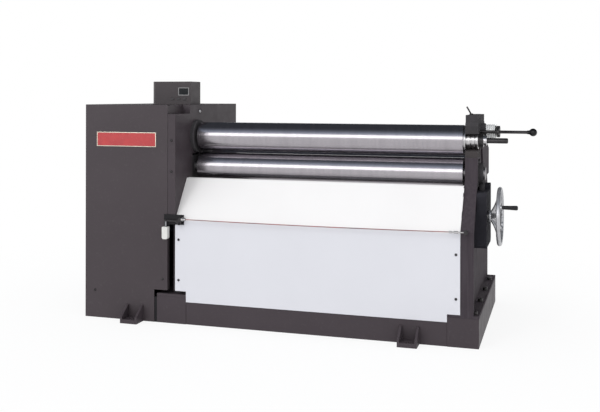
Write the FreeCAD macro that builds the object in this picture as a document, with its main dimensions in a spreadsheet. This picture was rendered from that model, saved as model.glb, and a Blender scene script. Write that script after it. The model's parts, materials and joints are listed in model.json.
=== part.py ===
import FreeCAD, Part
import math
import os
import re
import Sketcher
from FreeCAD import Placement, Rotation, Vector

# A powered slip roll machine, in millimetres.
# X runs along the rolls towards the handwheel, Y runs from the operator to the back, Z is up.
# The origin lies on the floor in the middle of the four anchor bolts.

os.makedirs("parts", exist_ok=True)
doc = FreeCAD.newDocument("SlipRoll")

SIZES = {
    # floor frame
    "base_depth": 897,
    "anchor_span": 1300,
    "foot_inset": 292,
    "left_block_width": 147,
    "base_height": 136,
    "base_wall": 8,
    "sole_thickness": 12,
    "beam_height": 118,
    "beam_depth": 60,
    "ledge_width": 40,
    # feet
    "foot_width": 85,
    "foot_reach": 70,
    "foot_plate": 18,
    "gusset_thickness": 10,
    "gusset_height": 76,
    "gusset_nose": 30,
    "anchor_hole": 9,
    "anchor_reach": 42,
    # end frames
    "frame_gap": 1310,
    "frame_thickness": 38,
    "head_thickness": 55,
    "left_notch_depth": 60,
    "left_notch_height": 497,
    "shoulder_setback": 165,
    "slope_bottom": 486,
    "slope_top": 690,
    "slope_setback": 172,
    "seat_drop": 73.5,
    "seat_back": 295,
    "split_rise": 15.5,
    "upright_back": 530,
    "head_bottom": 674,
    "head_back": 760,
    "rear_corner_height": 600,
    "flange_depth": 26,
    "bolt_head": 11,
    "bolt_head_height": 14,
    "bolt_first": 38,
    "bolt_pitch": 242,
    # rolls
    "roll_length": 1270,
    "roll_radius": 68.5,
    "roll_setback": 245,
    "roll_height": 860.5,
    "roll_pitch": 146.5,
    "roll_end_gap": 9.5,
    "journal_radius": 40,
    "groove_depth": 6,
    "bush_flange": 80,
    "stub_radius": 30,
    "neck_radius": 22,
    "running_fit": 0.05,
    "free_gap": 0.3,
    # front roll bearing blocks
    "block_width": 100,
    "block_height": 110,
    "lift_up": 8.5,
    "lift_down": 8.5,
    "ear_radius": 47,
    "ear_thickness": 20,
    "left_ear_thickness": 32,
    "rod_radius": 14,
    # rear roll slides
    "rear_setback": 405,
    "rear_drop": 135.5,
    "slide_angle": 30,
    "slide_width": 90,
    "slide_block": 110,
    "slide_travel": 60,
    "jack_length": 100,
    "jack_drop": 230,
    "screw_radius": 12,
    "lift_shaft_drop": 180,
    "lift_shaft_offset": 30,
    "lift_shaft_radius": 10,
    # adjusting gear and handwheel
    "wheel_setback": 180,
    "wheel_drop": 325.5,
    "housing_reach": 60,
    "housing_below": 135,
    "housing_above": 105,
    "flange_room_depth": 180,
    "flange_room_height": 110,
    "housing_front": 120,
    "housing_back": 350,
    "cross_shaft_radius": 15,
    "wheel_radius": 117,
    "rim_radius": 11,
    "hub_radius": 21,
    "hub_length": 25,
    "wheel_dish": 52,
    "grip_radius": 10,
    "grip_length": 70,
    "grip_circle": 113,
    "grip_angle": 27,
    # gears
    "roll_gear_module": 12,
    "roll_gear_teeth": 11,
    "roll_gear_outside": 79,
    "roll_gear_root": 58,
    "roll_gear_width": 45,
    "bull_gear_module": 6,
    "bull_gear_teeth": 40,
    "pinion_teeth": 12,
    "bull_gear_width": 40,
    "pressure_angle": 25,
    "gear_backlash": 0.4,
    # cabinet
    "cabinet_width": 430,
    "cabinet_inset": 117,
    "cabinet_headroom": 154.5,
    "sheet": 2,
    "cabinet_seam": 14,
    "cabinet_step_height": 152,
    "skirt_height": 43,
    "cabinet_return": 23,
    "badge_length": 310,
    "badge_height": 68,
    "badge_inset": 61,
    "badge_drop": 130,
    "badge_sheet": 2,
    "vent_length": 90,
    "vent_height": 8,
    "vent_pitch": 24,
    "vent_spacing": 170,
    "vent_drop": 455,
    # drive
    "gearbox_length": 110,
    "gearbox_depth": 170,
    "gearbox_height": 180,
    "motor_radius": 70,
    "motor_length": 120,
    "motor_neck_radius": 50,
    "pinion_bore": 18,
    "stand_wall": 8,
    "lift_motor_radius": 52,
    "lift_motor_length": 130,
    "lift_motor_flange": 110,
    # control box
    "box_width": 211,
    "box_height": 113,
    "box_depth": 120,
    "box_setback": 260,
    "box_fold": 18,
    "display_left": 145,
    "display_bottom": 44,
    "display_width": 57,
    "display_height": 39,
    "display_border": 4.5,
    "key_size": 16,
    "key_play": 0.5,
    "key_first": 113,
    "key_pitch": 33,
    "key_bottom": 22,
    # white front covers
    "cover_bottom": 103,
    "cover_fold": 480,
    "cover_top": 666,
    "cover_setback": 131,
    "cover_notch": 55,
    "notch_left_height": 152,
    "notch_right_height": 137,
    "cover_screw_low": 203,
    "cover_screw_high": 390,
    "cover_screw_inset": 18,
    # trip wire
    "wire_height": 487,
    "wire_radius": 2,
    "wire_reach": 14,
    "wire_sag": 5,
    "tensioner_length": 22,
    "socket_play": 1.2,
    "anchor_start": 46,
    "anchor_eye": 8,
    "switch_width": 28,
    "switch_height": 56,
    "switch_depth": 24,
    "switch_bottom": 394,
    "bracket_top": 506,
    "pivot_height": 468,
    "pivot_inset": 28,
    # cap and release rod of the upper roll's free end
    "cap_play": 2,
    "cap_rise": 113.5,
    "cap_back": 511,
    "cap_front": 182,
    "lip_rise": 30.5,
    "hinge_setback": 488,
    "hinge_rise": 61.5,
    "hinge_pin_radius": 9,
    "hinge_cheek": 16,
    "hinge_round": 22,
    "release_setback": 330,
    "release_rise": 37.5,
    "release_radius": 7,
    "hand_rod_setback": 288,
    "release_sleeve": 8.5,
    "release_disc": 19,
    "release_seat": 36,
    "seat_boss": 21,
    "collar_radius": 26,
    "collar_width": 14,
    "spring_radius": 29.5,
    "spring_wire": 3.5,
    "spring_length": 50,
    "spring_turns": 5,
    "ball_radius": 17.5,
    "ball_reach": 230,
}

# Places that follow from the sizes.
PLACES = {
    "front": "-base_depth / 2",
    "front_inside": "front + sheet",
    "front_seat": "front_inside + free_gap",
    "base_right": "anchor_span / 2 + foot_inset",
    "right_outer": "base_right - ledge_width",
    "right_inner": "right_outer - frame_thickness",
    "head_outer": "right_inner + head_thickness",
    "left_inner": "right_inner - frame_gap",
    "left_outer": "left_inner - frame_thickness",
    "left_block_right": "left_inner + cover_notch",
    "left_block_left": "left_block_right - left_block_width",
    "right_block_left": "right_inner - cover_notch",
    "right_block_width": "base_right - right_block_left",
    "block_top": "base_height - sole_thickness",
    "cabinet_right": "left_outer - 1",
    "cabinet_left": "cabinet_right - cabinet_width",
    "cabinet_back": "-front - cabinet_inset",
    "cabinet_height": "roll_height + cabinet_headroom",
    "seam_x": "left_block_left - cabinet_seam",
    "roll_right": "right_inner - roll_end_gap",
    "roll_left": "roll_right - roll_length",
    "roll_y": "front + roll_setback",
    "front_roll_z": "roll_height - roll_pitch",
    "seat_height": "roll_height - seat_drop",
    "split_height": "roll_height + split_rise",
    "rear_y": "front + rear_setback",
    "rear_height": "roll_height - rear_drop",
    "wheel_y": "front + wheel_setback",
    "wheel_height": "roll_height - wheel_drop",
    "housing_bottom": "wheel_height - housing_below",
    "housing_top": "wheel_height + housing_above",
    "housing_outer": "right_outer + housing_reach",
    "gear_x": "left_outer - 41 - roll_gear_width",
    "bull_x": "gear_x - 15 - bull_gear_width",
    "bull_centre_distance": "bull_gear_module * (bull_gear_teeth + pinion_teeth) / 2",
    "pinion_offset": "bull_centre_distance * cos(45)",
    "pinion_y": "roll_y + pinion_offset",
    "pinion_z": "roll_height - pinion_offset",
    "lip_height": "roll_height + lip_rise",
    "cap_height": "roll_height + cap_rise",
    "hinge_height": "roll_height + hinge_rise",
    "release_height": "roll_height + release_rise",
    "release_y": "front + release_setback",
    "hand_rod_y": "front + hand_rod_setback",
    "boss_x": "head_outer + seat_boss",
    "collar_x": "boss_x + spring_length",
    "hinge_y": "front + hinge_setback",
    "wire_y": "front - wire_reach",
}

sheet = doc.addObject("Spreadsheet::Sheet", "Sizes")
for row, (alias, number) in enumerate(SIZES.items(), start=1):
    sheet.set(f"A{row}", alias)
    sheet.set(f"B{row}", str(number))
    sheet.setAlias(f"B{row}", alias)
doc.recompute()

nodes = []


def size(alias):
    return float(sheet.get(alias))


def formula(text):
    """Spells out a formula written with the names of sizes and places."""

    def spell(match):
        word = match.group(0)
        if word in PLACES:
            return "(" + formula(PLACES[word]) + ")"
        if word in SIZES:
            return "Sizes." + word
        return word

    return re.sub(r"[a-z][a-z_]*", spell, text)


def node(name, item):
    """Names a finished sub-part, which goes to a file of that name."""
    item.Label = name
    nodes.append(item)
    return item


def place(item, x, y, z, axis="z"):
    """Stands a primitive at a point, with its own Z along the given axis."""
    turns = {
        "z": Rotation(),
        "x": Rotation(Vector(0, 1, 0), 90),
        "y": Rotation(Vector(1, 0, 0), -90),
    }
    item.Placement = Placement(Vector(), turns[axis])
    for letter, text in zip("xyz", (x, y, z)):
        item.setExpression("Placement.Base." + letter, formula(text))
    return item


def block(length, width, height, x, y, z):
    item = doc.addObject("Part::Box", "Block")
    item.setExpression("Length", formula(length))
    item.setExpression("Width", formula(width))
    item.setExpression("Height", formula(height))
    return place(item, x, y, z)


def rod(radius, length, x, y, z, axis="x"):
    item = doc.addObject("Part::Cylinder", "Rod")
    item.setExpression("Radius", formula(radius))
    item.setExpression("Height", formula(length))
    return place(item, x, y, z, axis)


def fuse(*items):
    joined = doc.addObject("Part::MultiFuse", "Joined")
    joined.Shapes = list(items)
    joined.Refine = True
    return joined


def cut(item, *tools):
    result = doc.addObject("Part::Cut", "Cut")
    result.Base = item
    result.Tool = tools[0] if len(tools) == 1 else fuse(*tools)
    return result


def group(*items):
    together = doc.addObject("Part::Compound", "Group")
    together.Links = list(items)
    return together


def sketch_on(body, role, corners):
    """Draws a closed outline in which every corner is tied to its two formulas."""
    plane = [item for item in body.Origin.OriginFeatures if item.Role == role][0]
    sketch = body.newObject("Sketcher::SketchObject", "Outline")
    sketch.AttachmentSupport = [(plane, "")]
    sketch.MapMode = "FlatFace"
    count = len(corners)
    first_radius = 100
    start = [
        Vector(
            first_radius * math.cos(2 * math.pi * turn / count),
            first_radius * math.sin(2 * math.pi * turn / count),
            0,
        )
        for turn in range(count)
    ]
    for index in range(count):
        sketch.addGeometry(
            Part.LineSegment(start[index], start[(index + 1) % count]), False
        )
    for index in range(count):
        sketch.addConstraint(
            Sketcher.Constraint("Coincident", index, 2, (index + 1) % count, 1)
        )
    for index, corner in enumerate(corners):
        for kind, text, guess in zip(
            ("DistanceX", "DistanceY"), corner, (start[index].x, start[index].y)
        ):
            number = sketch.addConstraint(
                Sketcher.Constraint(kind, -1, 1, index, 1, guess + 0.001)
            )
            sketch.setExpression(f"Constraints[{number}]", formula(text))
    return sketch


def padded(role, corners, thickness, x="0", y="0", z="0"):
    """A plate with the given outline. It grows along +X, +Y or +Z from its plane."""
    body = doc.addObject("PartDesign::Body", "Plate")
    pad = body.newObject("PartDesign::Pad", "Pad")
    pad.Profile = sketch_on(body, role, corners)
    pad.Reversed = role == "XZ_Plane"
    pad.setExpression("Length", formula(thickness))
    return place(body, x, y, z)


def turned(corners, x="0", y="0", z="0"):
    """A piece turned about an axis along X, from its (length, radius) outline."""
    body = doc.addObject("PartDesign::Body", "Turned")
    sketch = sketch_on(body, "XZ_Plane", corners)
    spin = body.newObject("PartDesign::Revolution", "Spin")
    spin.Profile = sketch
    spin.ReferenceAxis = (sketch, ["H_Axis"])
    spin.Angle = 360
    return place(body, x, y, z)


# ---------------------------------------------------------------- floor frame


def end_block(name, x, width):
    """A welded box under an end frame, open at the bottom."""
    outside = block(width, "base_depth", "block_top", x, "front", "0")
    inside = block(
        width + " - 2 * base_wall",
        "base_depth - 2 * base_wall",
        "block_top - base_wall",
        x + " + base_wall",
        "front + base_wall",
        "0",
    )
    node(name, cut(outside, inside))


end_block("base_left_block", "left_block_left", "left_block_width")
end_block("base_right_block", "right_block_left", "right_block_width")


def beam(name, web, inward):
    """A channel between the end blocks with its web on the outside."""
    inner_web = f"{web} {inward} base_wall"
    lip = f"{web} {inward} beam_depth"
    corners = [
        (web, "0"),
        (web, "beam_height"),
        (lip, "beam_height"),
        (lip, "beam_height - base_wall"),
        (inner_web, "beam_height - base_wall"),
        (inner_web, "base_wall"),
        (lip, "base_wall"),
        (lip, "0"),
    ]
    node(
        name,
        padded(
            "YZ_Plane", corners, "right_block_left - left_block_right", "left_block_right"
        ),
    )


beam("base_front_beam", "front_seat", "+")
beam("base_rear_beam", "-front", "-")


def cabinet_rail(y):
    """A square tube that carries the covers and the left feet."""
    length = "left_block_left - cabinet_left - sheet - free_gap"
    start = "cabinet_left + sheet + free_gap"
    outside = block(length, "beam_depth", "beam_height", start, y, "0")
    inside = block(
        length,
        "beam_depth - 2 * base_wall",
        "beam_height - 2 * base_wall",
        start,
        y + " + base_wall",
        "base_wall",
    )
    return cut(outside, inside)


# one behind the front cover, one under the cabinet's back and one for the rear foot
node(
    "cabinet_rails",
    group(
        cabinet_rail("front_seat"),
        cabinet_rail("cabinet_back - sheet - free_gap - beam_depth"),
        cabinet_rail("-front - beam_depth"),
    ),
)


def foot(x, seat, outward):
    """A bolt-down foot: a drilled plate with two sloped gussets, welded to the frame."""
    edge = "front" if outward == "-" else "-front"
    tip = f"({edge} {outward} foot_reach)"
    plate_y = tip if outward == "-" else seat
    depth = f"{seat} - {tip}" if outward == "-" else f"{tip} - {seat}"
    plate = block("foot_width", depth, "foot_plate", x, plate_y, "0")
    hole_y = f"{edge} {outward} anchor_reach"
    hole = rod(
        "anchor_hole", "foot_plate", x + " + foot_width / 2", hole_y, "0", axis="z"
    )
    corners = [
        (seat, "foot_plate"),
        (tip, "foot_plate"),
        (tip, "gusset_nose"),
        (f"{edge} {outward} 6", "gusset_height"),
        (seat, "gusset_height"),
    ]
    near = padded("YZ_Plane", corners, "gusset_thickness", x)
    far = padded(
        "YZ_Plane", corners, "gusset_thickness", x + " + foot_width - gusset_thickness"
    )
    return fuse(cut(plate, hole), near, far)


FOOT_LEFT = "-anchor_span / 2 - foot_width / 2"
FOOT_RIGHT = "anchor_span / 2 - foot_width / 2"
node(
    "feet",
    group(
        foot(FOOT_LEFT, "front", "-"),
        foot(FOOT_RIGHT, "front_seat", "-"),
        foot(FOOT_LEFT, "-front", "+"),
        foot(FOOT_RIGHT, "-front", "+"),
    ),
)

# ----------------------------------------------------------------- end frames


def along_slide(step, side="0"):
    """A point on the rear roll's slide: its Y and Z, a step up the slide from the roll."""
    y = f"rear_y - ({step}) * sin(slide_angle) + ({side}) * cos(slide_angle)"
    z = f"rear_height + ({step}) * cos(slide_angle) + ({side}) * sin(slide_angle)"
    return y, z


def slide_prism(thickness, x, low, high, half_width):
    """A block along the rear roll's slide, between two steps along it."""
    corners = [
        along_slide(low, "-(" + half_width + ")"),
        along_slide(low, half_width),
        along_slide(high, half_width),
        along_slide(high, "-(" + half_width + ")"),
    ]
    return padded("YZ_Plane", corners, thickness, x)


def front_slot(thickness, x):
    return block(
        thickness,
        "block_width",
        "block_height + lift_up + lift_down + 2 * free_gap",
        x,
        "roll_y - block_width / 2",
        "front_roll_z - block_height / 2 - lift_down - free_gap",
    )


def rear_slot(thickness, x):
    return slide_prism(
        thickness,
        x,
        "-jack_drop",
        "slide_block / 2 + slide_travel + 3",
        "slide_width / 2",
    )


def sole(x, width):
    """The foot flange that an end frame stands on."""
    return block(width, "base_depth", "sole_thickness", x, "front", "block_top")


def cover_lug(x, depth):
    """A tapped bar inside an end frame that the front cover is screwed to."""
    height = "cover_screw_high - cover_screw_low + 60"
    return block("30", depth, height, x, "front_seat", "cover_screw_low - 30")


# The left frame is a plate with a straight front that carries the cabinet. Its shoulder
# rises beside the cabinet's top.
left_plate = padded(
    "YZ_Plane",
    [
        ("front + left_notch_depth", "base_height"),
        ("front + left_notch_depth", "left_notch_height"),
        ("front", "left_notch_height"),
        ("front", "cabinet_height - skirt_height"),
        ("front + shoulder_setback", "cabinet_height - skirt_height"),
        ("front + shoulder_setback", "cabinet_height"),
        ("cabinet_back", "cabinet_height"),
        ("cabinet_back", "base_height"),
    ],
    "frame_thickness",
    "left_outer",
)
bush_hole = rod(
    "journal_radius + 20", "frame_thickness", "left_outer", "roll_y", "roll_height"
)
left_shaft_hole = rod(
    "cross_shaft_radius + 4", "frame_thickness", "left_outer", "wheel_y", "wheel_height"
)
node(
    "left_end_frame",
    fuse(
        cut(
            left_plate,
            front_slot("frame_thickness", "left_outer"),
            rear_slot("frame_thickness", "left_outer"),
            bush_hole,
            left_shaft_hole,
        ),
        sole("left_block_left", "left_block_width"),
        cover_lug("left_inner", "left_notch_depth + 20"),
    ),
)


def hinge_cheek(x):
    """One of the two round-topped ears that hold the cap's hinge pin."""
    stem = block(
        "hinge_cheek",
        "2 * hinge_round",
        "hinge_height - split_height + 2",
        x,
        "hinge_y - hinge_round",
        "split_height - 2",
    )
    top = rod("hinge_round", "hinge_cheek", x, "hinge_y", "hinge_height")
    bore = rod(
        "hinge_pin_radius + running_fit", "hinge_cheek", x, "hinge_y", "hinge_height"
    )
    return cut(fuse(stem, top), bore)


# The right frame slopes back above the cover's fold and ends in an open seat.
right_plate = padded(
    "YZ_Plane",
    [
        ("front", "base_height"),
        ("front", "slope_bottom"),
        ("front + slope_setback", "slope_top"),
        ("front + slope_setback", "seat_height"),
        ("front + seat_back", "seat_height"),
        ("front + seat_back", "split_height - free_gap"),
        ("front + upright_back", "split_height - free_gap"),
        ("front + head_back", "seat_height + 13"),
        ("-front", "rear_corner_height"),
        ("-front", "base_height"),
    ],
    "frame_thickness",
    "right_inner",
)
head = padded(
    "YZ_Plane",
    [
        ("front + slope_setback - 12", "head_bottom"),
        ("front + slope_setback", "slope_top"),
        ("front + slope_setback", "seat_height"),
        ("front + seat_back", "seat_height"),
        ("front + seat_back", "split_height - free_gap"),
        ("front + upright_back", "split_height - free_gap"),
        ("front + head_back", "seat_height + 13"),
        ("front + head_back", "head_bottom"),
    ],
    "head_thickness",
    "right_inner",
)
front_flange = padded(
    "YZ_Plane",
    [
        ("front", "base_height"),
        ("front", "slope_bottom"),
        ("front + slope_setback", "slope_top"),
        ("front + slope_setback + flange_depth", "slope_top"),
        ("front + flange_depth", "slope_bottom - 12"),
        ("front + flange_depth", "base_height"),
    ],
    "head_thickness",
    "right_inner",
)
node(
    "right_end_frame",
    fuse(
        cut(
            fuse(right_plate, head, front_flange),
            front_slot("head_thickness", "right_inner"),
            rear_slot("head_thickness", "right_inner"),
            rod(
                "cross_shaft_radius + 4",
                "frame_thickness",
                "right_inner",
                "wheel_y",
                "wheel_height",
            ),
        ),
        sole("right_block_left", "right_block_width"),
        cover_lug("right_inner - 30", "40"),
        hinge_cheek("right_inner"),
        hinge_cheek("head_outer - hinge_cheek"),
    ),
)


def hold_down_bolt(y):
    """A socket head screw on the ledge of the right frame's sole."""
    head_x = "right_outer + ledge_width / 2"
    head_part = rod("bolt_head", "bolt_head_height", head_x, y, "base_height", axis="z")
    socket = rod(
        "bolt_head / 2", "bolt_head_height", head_x, y, "base_height + 6", axis="z"
    )
    return cut(head_part, socket)


node(
    "frame_bolts",
    group(
        *[
            hold_down_bolt(f"front + bolt_first + {number} * bolt_pitch")
            for number in range(4)
        ]
    ),
)

# --------------------------------------------------- upper roll and its bearings

# Three lands of the free journal run in the saddle, with oil grooves between them.
GROOVE_FLOOR = "journal_radius - groove_depth"
node(
    "upper_roll",
    turned(
        [
            ("bull_x - 5", "0"),
            ("bull_x - 5", "journal_radius"),
            ("roll_left", "journal_radius"),
            ("roll_left", "roll_radius"),
            ("roll_right", "roll_radius"),
            ("roll_right", "journal_radius + 12"),
            ("right_inner - free_gap * 5", "journal_radius + 12"),
            ("right_inner - free_gap * 5", GROOVE_FLOOR),
            ("right_inner + 5", GROOVE_FLOOR),
            ("right_inner + 5", "journal_radius"),
            ("right_inner + 18", "journal_radius"),
            ("right_inner + 18", GROOVE_FLOOR),
            ("right_inner + 23", GROOVE_FLOOR),
            ("right_inner + 23", "journal_radius"),
            ("right_inner + 37", "journal_radius"),
            ("right_inner + 37", GROOVE_FLOOR),
            ("right_inner + 41", GROOVE_FLOOR),
            ("right_inner + 41", "journal_radius"),
            ("head_outer - 3", "journal_radius"),
            ("head_outer - 3", "stub_radius"),
            ("head_outer + 20", "stub_radius"),
            ("head_outer + 20", "neck_radius"),
            ("head_outer + 34", "neck_radius"),
            ("head_outer + 34", "0"),
        ],
        y="roll_y",
        z="roll_height",
    ),
)

# The bar in the free end of the roll is the grip for swinging or lifting it.
node(
    "lift_bar",
    turned(
        [
            ("head_outer + 34", "0"),
            ("head_outer + 34", "12"),
            ("head_outer + 123", "12"),
            ("head_outer + 125", "10"),
            ("head_outer + 125", "0"),
        ],
        y="roll_y",
        z="roll_height",
    ),
)

BUSH_BORE = "journal_radius + running_fit"
node(
    "upper_roll_bush",
    turned(
        [
            ("left_outer", BUSH_BORE),
            ("left_outer", "journal_radius + 20"),
            ("left_inner", "journal_radius + 20"),
            ("left_inner", "bush_flange"),
            ("left_inner + 16", "bush_flange"),
            ("left_inner + 18", "bush_flange - 2"),
            ("left_inner + 18", BUSH_BORE),
        ],
        y="roll_y",
        z="roll_height",
    ),
)

# The saddle carries the free journal from below and behind, and is open in front.
journal_hollow = rod(BUSH_BORE, "head_thickness", "right_inner", "roll_y", "roll_height")
saddle_body = padded(
    "YZ_Plane",
    [
        ("front + slope_setback + 4", "seat_height"),
        ("front + slope_setback + 4", "roll_height - journal_radius - 6"),
        ("roll_y - 8", "roll_height - journal_radius + 0.5"),
        ("roll_y", "roll_height"),
        ("roll_y", "split_height - free_gap"),
        ("front + seat_back", "split_height - free_gap"),
        ("front + seat_back", "seat_height"),
    ],
    "head_thickness",
    "right_inner",
)
node("journal_saddle", cut(saddle_body, journal_hollow))

# ------------------------------------------------------ front roll and its lift


def plain_roll(left_end, right_end):
    return [
        (left_end, "0"),
        (left_end, "stub_radius"),
        ("roll_left", "stub_radius"),
        ("roll_left", "roll_radius"),
        ("roll_right", "roll_radius"),
        ("roll_right", "stub_radius"),
        (right_end + " - 3", "stub_radius"),
        (right_end, "stub_radius - 3"),
        (right_end, "0"),
    ]


node(
    "front_roll",
    turned(
        plain_roll("gear_x - 5", "head_outer + ear_thickness + 9"),
        y="roll_y",
        z="front_roll_z",
    ),
)

STUB_BORE = "stub_radius + running_fit"


def front_block(name, cheek_x, cheek_length, ear_x, ear, bore_x):
    """A bearing block in the slot, with a round ear outside and its lifting rod."""
    cheek = block(
        cheek_length,
        "block_width - 2 * free_gap",
        "block_height",
        cheek_x,
        "roll_y - block_width / 2 + free_gap",
        "front_roll_z - block_height / 2",
    )
    round_ear = rod("ear_radius", ear, ear_x, "roll_y", "front_roll_z")
    lifter = rod(
        "rod_radius",
        "front_roll_z - stub_radius - 4 - wheel_height + 50",
        f"{ear_x} + {ear} / 2",
        "roll_y",
        "wheel_height - 50",
        axis="z",
    )
    bore = rod(
        STUB_BORE, f"{cheek_length} + {ear}", bore_x, "roll_y", "front_roll_z"
    )
    node(name, cut(fuse(cheek, round_ear, lifter), bore))


front_block(
    "front_block_right",
    "right_inner",
    "head_thickness + free_gap",
    "head_outer + free_gap",
    "ear_thickness",
    "right_inner",
)
front_block(
    "front_block_left",
    "left_outer - free_gap",
    "frame_thickness + free_gap",
    "left_outer - free_gap - left_ear_thickness",
    "left_ear_thickness",
    "left_outer - free_gap - left_ear_thickness",
)


def adjuster(name, x, rod_x, depth, flange_room):
    """The worm housing that raises a block, bored for the rod and the cross shaft."""
    body = padded(
        "YZ_Plane",
        [
            ("front + housing_front + 14", "housing_bottom"),
            ("front + housing_front", "housing_bottom + 14"),
            ("front + housing_front", "housing_top - 14"),
            ("front + housing_front + 14", "housing_top"),
            ("front + housing_back - 46", "housing_top"),
            ("front + housing_back - 46", "housing_top + 26"),
            ("front + housing_back - 10", "housing_top + 26"),
            ("front + housing_back", "housing_top + 18"),
            ("front + housing_back", "housing_bottom + 14"),
            ("front + housing_back - 14", "housing_bottom"),
        ],
        depth,
        x,
    )
    rod_bore = rod(
        "rod_radius + running_fit",
        "housing_top - wheel_height + 70",
        rod_x,
        "roll_y",
        "wheel_height - 70",
        axis="z",
    )
    shaft_bore = rod(
        "cross_shaft_radius + running_fit", depth, x, "wheel_y", "wheel_height"
    )
    corner = block(
        flange_room,
        "flange_room_depth",
        "flange_room_height",
        x,
        "front",
        "housing_top + 30 - flange_room_height",
    )
    node(name, cut(body, rod_bore, shaft_bore, corner))


adjuster(
    "front_adjuster_right",
    "right_outer",
    "head_outer + free_gap + ear_thickness / 2",
    "housing_reach",
    "head_thickness - frame_thickness + free_gap",
)
adjuster(
    "front_adjuster_left",
    "left_outer - 2 * ear_thickness",
    "left_outer - free_gap - left_ear_thickness / 2",
    "2 * ear_thickness",
    "5",
)

node(
    "cross_shaft",
    turned(
        [
            ("left_outer - 2 * ear_thickness - 5", "0"),
            ("left_outer - 2 * ear_thickness - 5", "cross_shaft_radius"),
            ("housing_outer + 2", "cross_shaft_radius"),
            ("housing_outer + 2", "cross_shaft_radius - 4"),
            ("housing_outer + hub_length + 6", "cross_shaft_radius - 4"),
            ("housing_outer + hub_length + 6", "0"),
        ],
        y="wheel_y",
        z="wheel_height",
    ),
)

# ------------------------------------------------------------------ handwheel

hub = turned(
    [
        ("housing_outer + 2", "cross_shaft_radius - 4"),
        ("housing_outer + 2", "hub_radius - 3"),
        ("housing_outer + 5", "hub_radius"),
        ("housing_outer + hub_length - 6", "hub_radius"),
        ("housing_outer + hub_length", "hub_radius - 5"),
        ("housing_outer + hub_length", "cross_shaft_radius - 4"),
    ],
    y="wheel_y",
    z="wheel_height",
)
rim = doc.addObject("Part::Torus", "Rim")
rim.setExpression("Radius1", formula("wheel_radius"))
rim.setExpression("Radius2", formula("rim_radius"))
place(rim, "housing_outer + wheel_dish", "wheel_y", "wheel_height", axis="x")

spokes = []
SPOKES = 5
slant = math.atan2(
    size("wheel_dish") - size("hub_length") / 2,
    size("wheel_radius") - size("hub_radius") + 6,
)
for number in range(SPOKES):
    spoke = doc.addObject("Part::Cone", "Spoke")
    spoke.Radius1 = 10
    spoke.Radius2 = 7.5
    spoke.setExpression(
        "Height",
        formula("(wheel_radius - hub_radius + 6) / cos(" + f"{math.degrees(slant):.6f})"),
    )
    around = Rotation(Vector(1, 0, 0), 90 + 360 / SPOKES * number)
    lean = Rotation(Vector(0, 1, 0), math.degrees(slant))
    start = around.multVec(Vector(0, 0, size("hub_radius") - 6))
    place(
        spoke,
        "housing_outer + hub_length / 2",
        f"wheel_y + {start.y:.6f}",
        f"wheel_height + {start.z:.6f}",
    )
    spoke.Placement.Rotation = around.multiply(lean)
    spokes.append(spoke)
GRIP_Y = "wheel_y - grip_circle * cos(grip_angle)"
GRIP_Z = "wheel_height + grip_circle * sin(grip_angle)"
GRIP_X = "housing_outer + wheel_dish + rim_radius"
grip_boss = rod(
    "9", "rim_radius + 4", "housing_outer + wheel_dish", GRIP_Y, GRIP_Z
)
grip_pin = rod("4", "grip_length + 8", "housing_outer + wheel_dish", GRIP_Y, GRIP_Z)
node("handwheel", fuse(hub, rim, *spokes, grip_boss, grip_pin))

node(
    "crank_grip",
    turned(
        [
            ("4.3", "4 + running_fit"),
            ("4.3", "grip_radius - 3.5"),
            ("7", "grip_radius - 2"),
            ("grip_length * 0.55", "grip_radius - 1.2"),
            ("grip_length - 8", "grip_radius"),
            ("grip_length - 3", "grip_radius - 0.6"),
            ("grip_length", "grip_radius - 3.5"),
            ("grip_length", "4 + running_fit"),
        ],
        GRIP_X,
        GRIP_Y,
        GRIP_Z,
    ),
)

# ------------------------------------------------------- rear roll and its jacks

node(
    "rear_roll",
    turned(
        plain_roll("left_outer - 4", "right_outer + 4"), y="rear_y", z="rear_height"
    ),
)


def rear_block(name, x):
    """The bearing block of the rear roll with its lifting screw."""
    slider = slide_prism(
        "frame_thickness",
        x,
        "-slide_block / 2",
        "slide_block / 2",
        "slide_width / 2 - free_gap",
    )
    bore = rod(STUB_BORE, "frame_thickness", x, "rear_y", "rear_height")
    y, z = along_slide("-lift_shaft_drop - 25")
    screw = rod(
        "screw_radius",
        "lift_shaft_drop + 25 - stub_radius - 4",
        x + " + frame_thickness / 2",
        y,
        z,
        axis="z",
    )
    screw.Placement.Rotation = Rotation(Vector(1, 0, 0), size("slide_angle"))
    screw.setExpression("Placement.Rotation.Angle", formula("slide_angle * 1deg"))
    node(name, cut(fuse(slider, screw), bore))


rear_block("rear_block_left", "left_outer")
rear_block("rear_block_right", "right_inner")

LIFT_SHAFT_Y, LIFT_SHAFT_Z = along_slide("-lift_shaft_drop", "lift_shaft_offset")


def rear_jack(name, x):
    """The screw jack that fills the lower end of the slot."""
    body = slide_prism(
        "frame_thickness", x, "-jack_drop", "jack_length - jack_drop", "slide_width / 2"
    )
    y, z = along_slide("-jack_drop")
    screw_bore = rod(
        "screw_radius + running_fit",
        "jack_length",
        x + " + frame_thickness / 2",
        y,
        z,
        axis="z",
    )
    screw_bore.Placement.Rotation = Rotation(Vector(1, 0, 0), size("slide_angle"))
    screw_bore.setExpression("Placement.Rotation.Angle", formula("slide_angle * 1deg"))
    shaft_bore = rod(
        "lift_shaft_radius + running_fit",
        "frame_thickness",
        x,
        LIFT_SHAFT_Y,
        LIFT_SHAFT_Z,
    )
    node(name, cut(body, screw_bore, shaft_bore))


rear_jack("rear_jack_left", "left_outer")
rear_jack("rear_jack_right", "right_inner")

node(
    "rear_lift_shaft",
    rod(
        "lift_shaft_radius",
        "right_outer - left_outer + 60",
        "left_outer - 60",
        LIFT_SHAFT_Y,
        LIFT_SHAFT_Z,
    ),
)

# -------------------------------------------------------------------- gearing


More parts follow.
